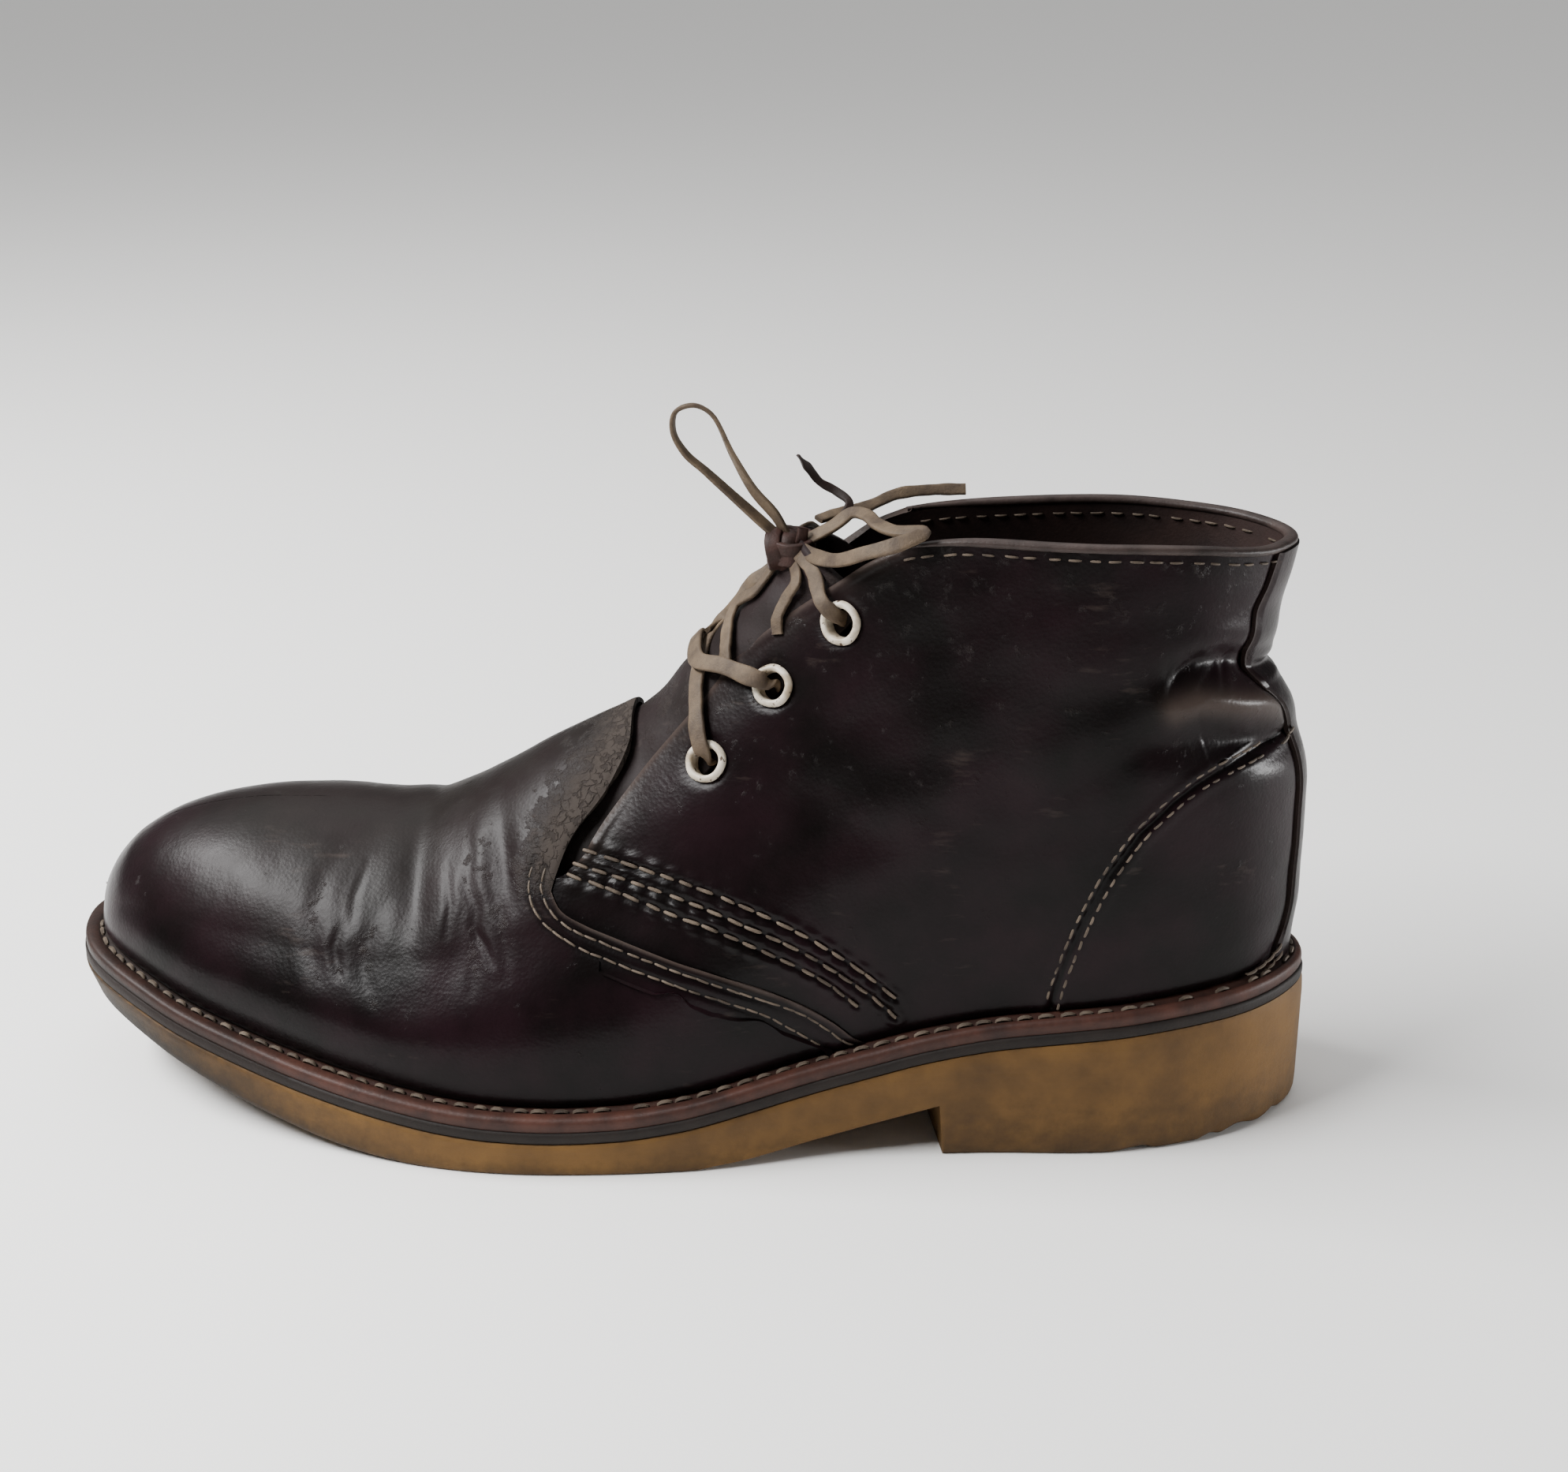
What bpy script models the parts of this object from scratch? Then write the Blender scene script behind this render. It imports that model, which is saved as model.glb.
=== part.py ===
"""Ankle-high lace-up work boot for the left foot, with a crepe wedge-and-heel sole.

Frame: metres, +Z up, floor at z = 0. The toe points along -X and the heel along +X.
The outer (lateral) side of the foot is -Y and the inner (medial) side is +Y.
Lengths below are written in millimetres and scaled to metres when a mesh is made.
"""
import math

import bmesh
import bpy
import numpy as np
from mathutils import Vector

MM = 0.001
NAME = "work_boot"

# ---------------------------------------------------------------- driving dimensions, mm
FLANGE_FRONT = 6.5          # sole edge to upper, round the forefoot
FLANGE_HEEL = 4.6           # the same, round the heel
MIDSOLE_THICKNESS = 3.0
WELT_THICKNESS = 3.3
INSOLE_RISE = 1.7           # insole top above the welt
LAYER_GAP = 0.3             # air between pieces that touch
UPPER_WALL = 2.6
TONGUE_WALL = 2.4
TONGUE_INSET = UPPER_WALL + 1.2
COLLAR_HEIGHT = 143.8
COLLAR_TILT = 1.2           # lateral side of the collar above, medial side below
STATIONS = 38               # cross-sections from toe to heel
ROWS = 12                   # rows from feather line to ridge or collar

EYELET_HOLE = 3.3           # radius of the punched hole
EYELET_BARREL = 3.0
EYELET_BORE = 2.3
EYELET_FLANGE = 4.8
EYELET_LIFT = 0.5          # flange above the leather
LACE_RADIUS = 1.15
TOE_WEAR = 3.0              # lower edge of the toe set back

# Outline of the sole seen from above, toe at -X: lateral side first, then medial.
OUTLINE = [(-153, 6), (-147.5, -13), (-127, -31), (-95, -45), (-62, -54.8), (-35, -58),
           (5, -54), (40, -45), (75, -40), (110, -36.5), (136, -25.5), (149, -12), (153, -2),
           (150.5, 9), (137, 24), (112, 33), (80, 34.5), (45, 33.5), (10, 37), (-25, 47),
           (-55, 56), (-85, 57.3), (-116, 49), (-135, 37), (-147.5, 22)]

# Heights along the boot: walking face, top of the crepe, ridge of the last (x, z).
TREAD_LINE = [(-153, 19.6), (-139, 17.8), (-128, 15.4), (-117, 12.3), (-105, 8.9), (-93, 5.8),
              (-78, 2.5), (-66, 0.8), (-54, 0), (153, 0)]
CREPE_TOP = [(-153, 27.8), (-139, 25.8), (-128, 23.5), (-117, 20.6), (-105, 17.9), (-92, 15.2),
             (-77, 12.7), (-62, 10.6), (-50, 9.2), (-37, 8.3), (-24, 8), (-9, 8.5), (6, 10.4),
             (22, 13.9), (49, 20.6), (63, 24.3), (77, 27), (91, 28.8), (105, 30.2), (130, 31.8),
             (153, 32.2)]
WAIST_ARCH = [(8, 0), (22, 2.3), (40, 6.4), (51, 9.3), (61, 12), (66, 13.4)]
RIDGE = [(-146.5, 40), (-145.8, 42.5), (-144.4, 45.5), (-141.3, 50.4), (-136, 55.6), (-126, 61),
         (-113, 64.4), (-100, 65.9), (-88, 66.2), (-75, 66.2), (-62, 67.6), (-51, 72),
         (-41, 77.7), (-31, 84), (-19, 90.6), (-10, 95.4), (0, 103), (10, 113), (20, 124.5),
         (30, 138), (40, 157), (52, 186), (70, 232), (95, 285), (150, 350)]
BACK_LINE = [(30, 147.6), (44, 148.4), (55, 149.3), (70, 149.2), (82, 149), (91, 147.6),
             (99, 145), (106, 141.6), (112, 139.4), (119, 139), (127, 139.9), (135, 141.8),
             (146, 143.8)]
CENTRE_POINTS = [(-110, 6), (-60, 4), (0, 2), (60, -1)]
SECTION_ROUND = [(-150, 2.3), (-100, 2.2), (-70, 1.9), (-40, 1.5), (-15, 1.35), (150, 1.35)]
SECTION_BULGE = [(-150, 0.03), (-100, 0.05), (0, 0.05), (60, 0.08), (150, 0.08)]

# Side view of the throat: the tab of the vamp, then the front edge of the quarters (x, z).
VAMP_TAB = [(-9.6, 96.5), (-9, 91.5), (-14, 82), (-21.5, 72), (-25.6, 63.5), (-26, 61)]
QUARTER_EDGE = [(-24, 61.4), (-15.5, 74.5), (-6, 86.5), (3, 97), (12, 107.5), (18, 114.5),
                (25, 121), (34, 128.5), (42, 135), (50, 140.8), (62, 146)]
MEDIAL_LIFT = 3.0           # medial quarter's edge stands this much further forward
TONGUE_SIDE = [(-36, 66), (-26, 57), (-14, 62), (2, 81), (17, 99), (29, 112), (38, 121),
               (44, 128)]
TONGUE_CROWN = (-36, 31)    # ends of the tongue along the ridge
EYELETS = {"1": (10.5, 91.8), "2": (25.6, 109.6), "3": (41.2, 125.4)}

# Bow: the knot, and the free loops and ends that leave it (x, y, z).
KNOT_CENTRE = (27.5, -3.0, 138.5)
KNOT_RADII = (5.2, 5.0, 4.2)
FREE_LACES = {
    "lace_loop_tall": [(22, -4, 143), (15, -4, 149.5), (9, -4, 155), (4.5, -4, 159), (1.8, -4, 164),
                       (2.4, -4, 168.6), (6.5, -4, 170.2), (10.6, -4, 168.2), (15.3, -4, 158.8),
                       (20, -4, 150.6), (25.5, -4, 144.8)],
    "lace_loop_low": [(34.2, -4.5, 140), (38, -4, 142.5), (42.4, -5, 146), (46, -10, 147.2),
                      (48.8, -16, 147), (53, -22, 147.2), (59.5, -25.5, 148), (54, -28.2, 146),
                      (47, -26.6, 143.4), (40.5, -21, 139.8), (34.6, -12, 137.5)],
    "lace_end_short": [(34.4, 0.6, 139.6), (39, 1.6, 142.2), (41.4, 4, 145.8), (38, 6.4, 148),
                       (34.4, 6.6, 150), (32, 5.4, 153.4), (29.5, 4, 157)],
    "lace_end_long": [(34.2, 4.4, 141.6), (38.5, 8.8, 142), (45, 13.2, 142.4), (52, 17.6, 144.4),
                      (60, 20.2, 144.8), (68, 21.4, 144.8)],
}


# ---------------------------------------------------------------- curves
def smooth(points, x):
    """Monotone cubic through (x, y) points, held flat beyond its ends."""
    px, py = np.array(points, float).T
    step = np.diff(px)
    slope = np.diff(py) / step
    product = slope[:-1] * slope[1:]
    total = np.where(product > 0, slope[:-1] + slope[1:], 1.0)
    inner = np.where(product > 0, 2 * product / total, 0.0)
    tangent = np.concatenate([slope[:1], inner, slope[-1:]])
    x = np.clip(np.asarray(x, float), px[0], px[-1])
    i = np.clip(np.searchsorted(px, x, side="right") - 1, 0, len(step) - 1)
    t = (x - px[i]) / step[i]
    value = (2 * t**3 - 3 * t**2 + 1) * py[i] + (t**3 - 2 * t**2 + t) * step[i] * tangent[i]
    return value + (3 * t**2 - 2 * t**3) * py[i + 1] + (t**3 - t**2) * step[i] * tangent[i + 1]


def spline(points, per_span, closed=False):
    """Centripetal Catmull-Rom curve through points, as an array of points."""
    p = np.array(points, float)
    if closed:
        p = np.vstack([p[-1:], p, p[:2]])
    else:
        p = np.vstack([2 * p[0] - p[1], p, 2 * p[-1] - p[-2]])
    out = []
    for a, b, c, d in zip(p[:-3], p[1:-2], p[2:-1], p[3:]):
        ta = 0.0
        tb = ta + np.linalg.norm(b - a) ** 0.5
        tc = tb + np.linalg.norm(c - b) ** 0.5
        td = tc + np.linalg.norm(d - c) ** 0.5
        for t in np.linspace(tb, tc, per_span, endpoint=False):
            ab = ((tb - t) * a + (t - ta) * b) / (tb - ta)
            bc = ((tc - t) * b + (t - tb) * c) / (tc - tb)
            cd = ((td - t) * c + (t - tc) * d) / (td - tc)
            low = ((tc - t) * ab + (t - ta) * bc) / (tc - ta)
            high = ((td - t) * bc + (t - tb) * cd) / (td - tb)
            out.append(((tc - t) * low + (t - tb) * high) / (tc - tb))
    if not closed:
        out.append(p[-2])
    return np.array(out)


SOLE_LOOP = spline(OUTLINE, 40, closed=True)


def inset_sides(inset_front, inset_heel):
    """Lateral and medial halves of the outline moved inward, as two (x, y) arrays."""
    ahead = np.roll(SOLE_LOOP, -1, axis=0) - np.roll(SOLE_LOOP, 1, axis=0)
    inward = np.stack([-ahead[:, 1], ahead[:, 0]], 1)
    inward /= np.linalg.norm(inward, axis=1)[:, None]
    blend = np.clip((SOLE_LOOP[:, 0] - 40) / 60, 0, 1)
    loop = SOLE_LOOP + inward * (inset_front + (inset_heel - inset_front) * blend)[:, None]
    toe = int(np.argmin(loop[:, 0]))
    loop = np.roll(loop, -toe, axis=0)
    heel = int(np.argmax(loop[:, 0]))
    lateral = loop[:heel + 1]
    medial = np.vstack([loop[heel:], loop[:1]])[::-1]
    return lateral, medial


def stations(sides, count):
    """x of cross-sections, close together at toe and heel, with both edges' y."""
    lateral, medial = sides
    start = lateral[0, 0]
    length = lateral[-1, 0] - start
    x = start + length * (1 - np.cos(np.linspace(0, math.pi, count))) / 2
    return x, np.interp(x, lateral[:, 0], lateral[:, 1]), np.interp(x, medial[:, 0], medial[:, 1])


# ---------------------------------------------------------------- the last
FEATHER = inset_sides(FLANGE_FRONT, FLANGE_HEEL)
CENTRE_LINE = [tuple(FEATHER[0][0]), *CENTRE_POINTS, tuple(FEATHER[0][-1])]


def feather_height(x):
    """Height of the welt's top, where the upper stands."""
    return smooth(CREPE_TOP, x) + MIDSOLE_THICKNESS + WELT_THICKNESS


def half_width(x, z, side):
    """Half width of the last at x and height z, on side -1 (lateral) or +1 (medial)."""
    edge = FEATHER[0] if side < 0 else FEATHER[1]
    base = np.abs(np.interp(x, edge[:, 0], edge[:, 1]) - smooth(CENTRE_LINE, x))
    low = feather_height(x)
    rise = np.clip((z - low) / (smooth(RIDGE, x) - low), 0, 1)
    bulge = 1 + smooth(SECTION_BULGE, x) * np.sin(math.pi * np.clip(rise / 0.55, 0, 1))
    power = smooth(SECTION_ROUND, x)
    return base * bulge * np.sqrt(np.clip(1 - rise**power, 0, 1))


def heel_shift(x, z):
    """How far the back of the last leans in or out at height z."""
    lean = smooth(BACK_LINE, z) - FEATHER[0][-1, 0]
    return lean * np.clip((x - 55) / (FEATHER[0][-1, 0] - 55), 0, 1) ** 1.6


def on_last(x, z, side):
    """Point of the last's surface for a place in the side view."""
    y = smooth(CENTRE_LINE, x) + side * half_width(x, z, side)
    return np.stack([x + heel_shift(x, z), y, z + 0 * y], -1)


def last_normal(x, z, side):
    """Outward unit normal of the last, from small steps along it."""
    step = 0.4
    along = on_last(x + step, z, side) - on_last(x - step, z, side)
    up = on_last(x, z + step, side) - on_last(x, z - step, side)
    normal = np.cross(along, up) * -side
    return normal / np.linalg.norm(normal, axis=-1, keepdims=True)


# ---------------------------------------------------------------- scene helpers
for leftover in list(bpy.data.objects):
    bpy.data.objects.remove(leftover)

parts = bpy.data.collections.new(NAME)
cutters = bpy.data.collections.new("cutters")
bpy.context.scene.collection.children.link(parts)
bpy.context.scene.collection.children.link(cutters)
boot = bpy.data.objects.new(NAME, None)
parts.objects.link(boot)


def material(name, colour, roughness, metallic=0.0):
    """Principled material of one colour, roughness and metallic value."""
    made = bpy.data.materials.new(name)
    made.use_nodes = True
    shader = made.node_tree.nodes["Principled BSDF"]
    shader.inputs["Base Color"].default_value = (*colour, 1.0)
    shader.inputs["Roughness"].default_value = roughness
    shader.inputs["Metallic"].default_value = metallic
    made.diffuse_color = (*colour, 1.0)
    return made


CREPE = material("crepe_rubber", (0.24, 0.15, 0.05), 0.6)
MIDSOLE_RUBBER = material("midsole_rubber", (0.022, 0.017, 0.015), 0.65)
WELT_LEATHER = material("welt_leather", (0.07, 0.03, 0.024), 0.5)
INSOLE_LEATHER = material("insole_leather", (0.16, 0.09, 0.05), 0.75)
UPPER_LEATHER = material("upper_leather", (0.022, 0.011, 0.011), 0.35)
TONGUE_LEATHER = material("tongue_leather", (0.03, 0.018, 0.017), 0.5)
EYELET_METAL = material("eyelet_metal", (0.72, 0.68, 0.58), 0.4, 1.0)
LACE_LEATHER = material("lace_leather", (0.26, 0.19, 0.13), 0.6)


def add_mesh(name, verts, faces, finish, smooth_faces=False):
    """Object in the boot's collection from vertices in millimetres."""
    mesh = bpy.data.meshes.new(name)
    mesh.from_pydata([tuple(v * MM) for v in np.asarray(verts, float)], [], faces)
    mesh.validate()
    work = bmesh.new()
    work.from_mesh(mesh)
    bmesh.ops.remove_doubles(work, verts=work.verts, dist=0.02 * MM)
    bmesh.ops.recalc_face_normals(work, faces=work.faces)
    work.to_mesh(mesh)
    work.free()
    for face in mesh.polygons:
        face.use_smooth = smooth_faces
    mesh.materials.append(finish)
    made = bpy.data.objects.new(name, mesh)
    parts.objects.link(made)
    made.parent = boot
    return made


def make_cutter(made):
    """Move an object into the cutters' collection and show it as wire."""
    for home in list(made.users_collection):
        home.objects.unlink(made)
    cutters.objects.link(made)
    made.hide_render = True
    made.display_type = "WIRE"
    return made


def cut(target, cutter):
    """Exact Boolean difference, kept as a modifier."""
    modifier = target.modifiers.new(f"cut_{cutter.name}", "BOOLEAN")
    modifier.operation = "DIFFERENCE"
    modifier.solver = "EXACT"
    modifier.object = cutter


def side_prism(name, outline, depths, yaw=0.0, pivot=(0.0, 0.0)):
    """Cutter with an outline in the side view, extruded along Y and turned about a pivot."""
    work = bmesh.new()
    near = [work.verts.new(((x - pivot[0]) * MM, depths[0] * MM, z * MM)) for x, z in outline]
    end = work.faces.new(near)
    grown = bmesh.ops.extrude_face_region(work, geom=[end])["geom"]
    moved = [item for item in grown if isinstance(item, bmesh.types.BMVert)]
    bmesh.ops.translate(work, verts=moved, vec=(0, (depths[1] - depths[0]) * MM, 0))
    bmesh.ops.recalc_face_normals(work, faces=work.faces)
    mesh = bpy.data.meshes.new(name)
    work.to_mesh(mesh)
    work.free()
    made = bpy.data.objects.new(name, mesh)
    parts.objects.link(made)
    made.rotation_euler = (0, 0, yaw)
    made.location = (pivot[0] * MM, pivot[1] * MM, 0)
    return make_cutter(made)


# ---------------------------------------------------------------- sole pieces
def slab(name, sides, bottom, top, finish, count=44, undercut=0.0):
    """Solid between two height lines inside an outline, through sections across the boot.

    An undercut moves the lower edge of the toe back, as wear does.
    """
    x, lateral, medial = stations(sides, count)
    middle = (lateral + medial) / 2
    toe = np.clip((-95 - x) / 58, 0, 1) ** 1.5
    worn_x = x + undercut * toe
    keep = 1 - undercut * toe / 45
    verts = []
    for i in range(count):
        low, high = bottom(worn_x[i]), top(x[i])
        near, far = (middle[i] + keep[i] * (edge[i] - middle[i]) for edge in (lateral, medial))
        verts += [(worn_x[i], near, low), (x[i], lateral[i], high),
                  (x[i], medial[i], high), (worn_x[i], far, low)]
    faces = []
    for i in range(count - 1):
        a, b = 4 * i, 4 * (i + 1)
        faces += [[a + k, b + k, b + (k + 1) % 4, a + (k + 1) % 4] for k in range(4)]
    return add_mesh(name, verts, faces, finish)


def crepe_top(x):
    """Top of the crepe sole."""
    return float(smooth(CREPE_TOP, x))


def build_outsole():
    """Crepe sole and heel in one, with the waist cut out in front of the heel."""
    sole = slab("outsole", inset_sides(0, 0), lambda x: float(smooth(TREAD_LINE, x)), crepe_top,
                CREPE, 52, TOE_WEAR)
    arch = [(WAIST_ARCH[0][0] - 12, -6)] + WAIST_ARCH + [(WAIST_ARCH[-1][0] + 1.5, -6)]
    waist = side_prism("waist_cutter", arch, (-80, 120), yaw=math.radians(12), pivot=(66, -40))
    cut(sole, waist)
    return sole


def build_midsole():
    """Thin dark rubber layer between crepe and welt."""
    return slab("midsole", inset_sides(0.3, 0.3), lambda x: crepe_top(x) + LAYER_GAP,
                lambda x: crepe_top(x) + MIDSOLE_THICKNESS, MIDSOLE_RUBBER)


def build_insole():
    """Leather insole lying on the midsole, inside the welt."""
    inset = UPPER_WALL + 1.0
    sides = inset_sides(FLANGE_FRONT + inset, FLANGE_HEEL + inset)
    rise = MIDSOLE_THICKNESS + LAYER_GAP
    top = MIDSOLE_THICKNESS + WELT_THICKNESS + INSOLE_RISE
    return slab("insole", sides, lambda x: crepe_top(x) + rise, lambda x: crepe_top(x) + top,
                INSOLE_LEATHER)


def build_welt():
    """Leather strip all round, from the sole's edge to just under the upper's wall."""
    count = 44
    overlap = UPPER_WALL - 0.2
    outer = stations(inset_sides(0.8, 0.8), count)
    inner = stations(inset_sides(FLANGE_FRONT + overlap, FLANGE_HEEL + overlap), count)
    rows = []
    for x, lateral, medial in (outer, inner):
        loop = [(x[i], lateral[i]) for i in range(count)]
        loop += [(x[i], medial[i]) for i in range(count - 2, 0, -1)]
        low = [(px, py, crepe_top(px) + MIDSOLE_THICKNESS + LAYER_GAP) for px, py in loop]
        high = [(px, py, float(feather_height(px))) for px, py in loop]
        rows += [low, high]
    size = len(rows[0])
    verts = [point for row in (rows[0], rows[1], rows[3], rows[2]) for point in row]
    faces = []
    for ring in range(4):
        a, b = ring * size, ((ring + 1) % 4) * size
        faces += [[a + i, a + (i + 1) % size, b + (i + 1) % size, b + i] for i in range(size)]
    return add_mesh("welt", verts, faces, WELT_LEATHER)


# ---------------------------------------------------------------- upper and tongue
def sheet_faces(grid):
    """Quads of a 2-D array of vertex numbers."""
    a, b = grid[:-1, :-1], grid[1:, :-1]
    c, d = grid[1:, 1:], grid[:-1, 1:]
    return [list(map(int, quad)) for quad in np.stack([a, b, c, d], -1).reshape(-1, 4)]


def solidify(target, thickness):
    """Turn an open sheet into a wall, grown inward."""
    modifier = target.modifiers.new("wall", "SOLIDIFY")
    modifier.thickness = thickness * MM
    modifier.offset = -1.0
    modifier.use_rim = True
    return modifier


def collar_height(x, side):
    """Height of the collar, higher on the lateral side and level at the back."""
    tilt = COLLAR_TILT * np.clip((148 - x) / 50, 0, 1)
    return COLLAR_HEIGHT - side * tilt


def throat_outline(side):
    """Opening of the throat and collar front in the side view."""
    tab = spline(VAMP_TAB, 3)
    edge = spline(QUARTER_EDGE, 3)
    if side > 0:
        lift = MEDIAL_LIFT * np.sin(np.linspace(0, math.pi, len(edge)))
        edge = edge + np.stack([-0.7 * lift, 0.7 * lift], 1)
    return [tuple(p) for p in tab] + [tuple(p) for p in edge] + [(62, 190), (-9.6, 190)]


def build_upper():
    """Vamp and quarters in one hollow shell over the last, open at throat, collar and below."""
    x = stations(FEATHER, STATIONS)[0]
    closed = np.clip((62 - x) / 30, 0, 1)
    low = feather_height(x) + 2 * LAYER_GAP
    level = np.linspace(0, 1, ROWS)[:, None]
    share = closed * np.sin(level * math.pi / 2) + (1 - closed) * level
    verts = []
    faces = []
    for side in (-1, 1):
        top = np.minimum(smooth(RIDGE, x), collar_height(x, side))
        z = low + (top - low) * share
        sheet = on_last(np.broadcast_to(x, z.shape), z, side)
        grid = np.arange(sheet.shape[0] * sheet.shape[1]).reshape(z.shape) + len(verts)
        verts += list(sheet.reshape(-1, 3))
        faces += sheet_faces(grid)
    upper = add_mesh("upper", verts, faces, UPPER_LEATHER, smooth_faces=True)
    outward = upper.data.polygons[0].normal.y < 0
    if not outward:
        upper.data.flip_normals()
    solidify(upper, UPPER_WALL)
    cut(upper, side_prism("throat_lateral", throat_outline(-1), (-80, 3)))
    cut(upper, side_prism("throat_medial", throat_outline(1), (1.1, 80)))
    return upper


def inside_last(x, z, side, depth):
    """Point at a depth below the last's surface."""
    return on_last(x, z, side) - depth * last_normal(x, z, side)


def build_tongue():
    """Folded leaf under the quarters, from beneath the vamp's tab to above the knot."""
    edge = spline(TONGUE_SIDE, 3)
    count, across = len(edge), 7
    ridge_x = np.linspace(*TONGUE_CROWN, count)
    ridge_z = smooth(RIDGE, ridge_x)
    depth = TONGUE_INSET
    slope = (smooth(RIDGE, ridge_x + 0.5) - smooth(RIDGE, ridge_x - 0.5)) / 1.0
    drop = depth / np.sqrt(1 + slope**2)
    crown = np.stack([ridge_x + slope * drop, smooth(CENTRE_LINE, ridge_x), ridge_z - drop], 1)
    verts = []
    faces = []
    turn = np.sin(np.linspace(0, math.pi / 2, across))[:, None]
    for side in (-1, 1):
        x = edge[:, 0] + (ridge_x - edge[:, 0]) * turn**2
        z = edge[:, 1] + (ridge_z - edge[:, 1]) * turn
        limit = smooth(RIDGE, x) - 0.6
        sheet = inside_last(x, np.minimum(z, limit), side, depth)
        sheet[-1] = crown
        grid = np.arange(sheet.shape[0] * sheet.shape[1]).reshape(x.shape) + len(verts)
        verts += list(sheet.reshape(-1, 3))
        faces += sheet_faces(grid)
    tongue = add_mesh("tongue", verts, faces, TONGUE_LEATHER, smooth_faces=True)
    if tongue.data.polygons[0].normal.y > 0:
        tongue.data.flip_normals()
    solidify(tongue, TONGUE_WALL)
    return tongue


# ---------------------------------------------------------------- eyelets
def turned(name, profile, finish, steps=20):
    """Closed profile (radius, height) turned about Z with a Screw modifier."""
    mesh = bpy.data.meshes.new(name)
    verts = [(r * MM, 0, h * MM) for r, h in profile]
    edges = [(i, (i + 1) % len(verts)) for i in range(len(verts))]
    mesh.from_pydata(verts, edges, [])
    mesh.materials.append(finish)
    made = bpy.data.objects.new(name, mesh)
    parts.objects.link(made)
    screw = made.modifiers.new("turn", "SCREW")
    screw.steps = steps
    screw.render_steps = steps
    screw.use_normal_flip = True
    screw.use_merge_vertices = True
    screw.merge_threshold = 0.00001
    return made


def build_eyelet(key, side):
    """Rolled brass eyelet: flange on the leather and a barrel through it, with its hole."""
    x, z = EYELETS[key]
    place = on_last(x, z, side)
    normal = Vector(last_normal(x, z, side))
    label = f"{'lateral' if side < 0 else 'medial'}_{key}"
    flange = [(EYELET_BORE, -UPPER_WALL - 0.6), (EYELET_BARREL, -UPPER_WALL - 0.6),
              (EYELET_BARREL, EYELET_LIFT), (EYELET_FLANGE, EYELET_LIFT),
              (EYELET_FLANGE, EYELET_LIFT + 0.4), (EYELET_FLANGE - 0.8, EYELET_LIFT + 0.95),
              (EYELET_BORE + 0.5, EYELET_LIFT + 0.95), (EYELET_BORE, EYELET_LIFT + 0.4)]
    ring = turned(f"eyelet_{label}", flange, EYELET_METAL)
    ring.parent = boot
    bpy.ops.mesh.primitive_cylinder_add(vertices=20, radius=EYELET_HOLE * MM, depth=14 * MM)
    hole = make_cutter(bpy.context.object)
    hole.name = f"hole_{label}"
    for made in (ring, hole):
        made.location = Vector(place) * MM
        made.rotation_euler = normal.to_track_quat("Z", "Y").to_euler()
    return hole


# ---------------------------------------------------------------- laces
def over(x, z, side, lift):
    """Point at a lift above the last's surface."""
    return on_last(x, z, side) + lift * last_normal(x, z, side)


def crown(x, lift):
    """Point at a lift above the ridge of the last."""
    slope = float(smooth(RIDGE, x + 0.5) - smooth(RIDGE, x - 0.5))
    away = lift / math.hypot(1, slope)
    return (x - slope * away, float(smooth(CENTRE_LINE, x)), float(smooth(RIDGE, x)) + away)


def lace_tube(name, points, per_span=3):
    """Leather lace as a tube along a smooth route in millimetres."""
    curve = bpy.data.curves.new(name, "CURVE")
    curve.dimensions = "3D"
    curve.bevel_depth = LACE_RADIUS * MM
    curve.bevel_resolution = 2
    curve.use_fill_caps = True
    route = spline(points, per_span)
    path = curve.splines.new("POLY")
    path.points.add(len(route) - 1)
    for point, where in zip(path.points, route):
        point.co = (*(where * MM), 1)
    curve.materials.append(LACE_LEATHER)
    made = bpy.data.objects.new(name, curve)
    parts.objects.link(made)
    made.parent = boot
    return made


def as_mesh(tube):
    """Mesh object that takes a tube's place, for Booleans."""
    name = tube.name
    depsgraph = bpy.context.evaluated_depsgraph_get()
    mesh = bpy.data.meshes.new_from_object(tube.evaluated_get(depsgraph))
    bpy.data.objects.remove(tube)
    work = bmesh.new()
    work.from_mesh(mesh)
    bmesh.ops.remove_doubles(work, verts=work.verts, dist=0.005 * MM)
    bmesh.ops.recalc_face_normals(work, faces=work.faces)
    work.to_mesh(mesh)
    work.free()
    made = bpy.data.objects.new(name, mesh)
    parts.objects.link(made)
    made.parent = boot
    return made


def lace_crossing(name, first, second):
    """Two strands joined where they cross."""
    strand = as_mesh(lace_tube(name, first))
    other = make_cutter(as_mesh(lace_tube(f"{name}_second", second)))
    join = strand.modifiers.new("join", "BOOLEAN")
    join.operation = "UNION"
    join.solver = "EXACT"
    join.object = other
    return strand


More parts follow.
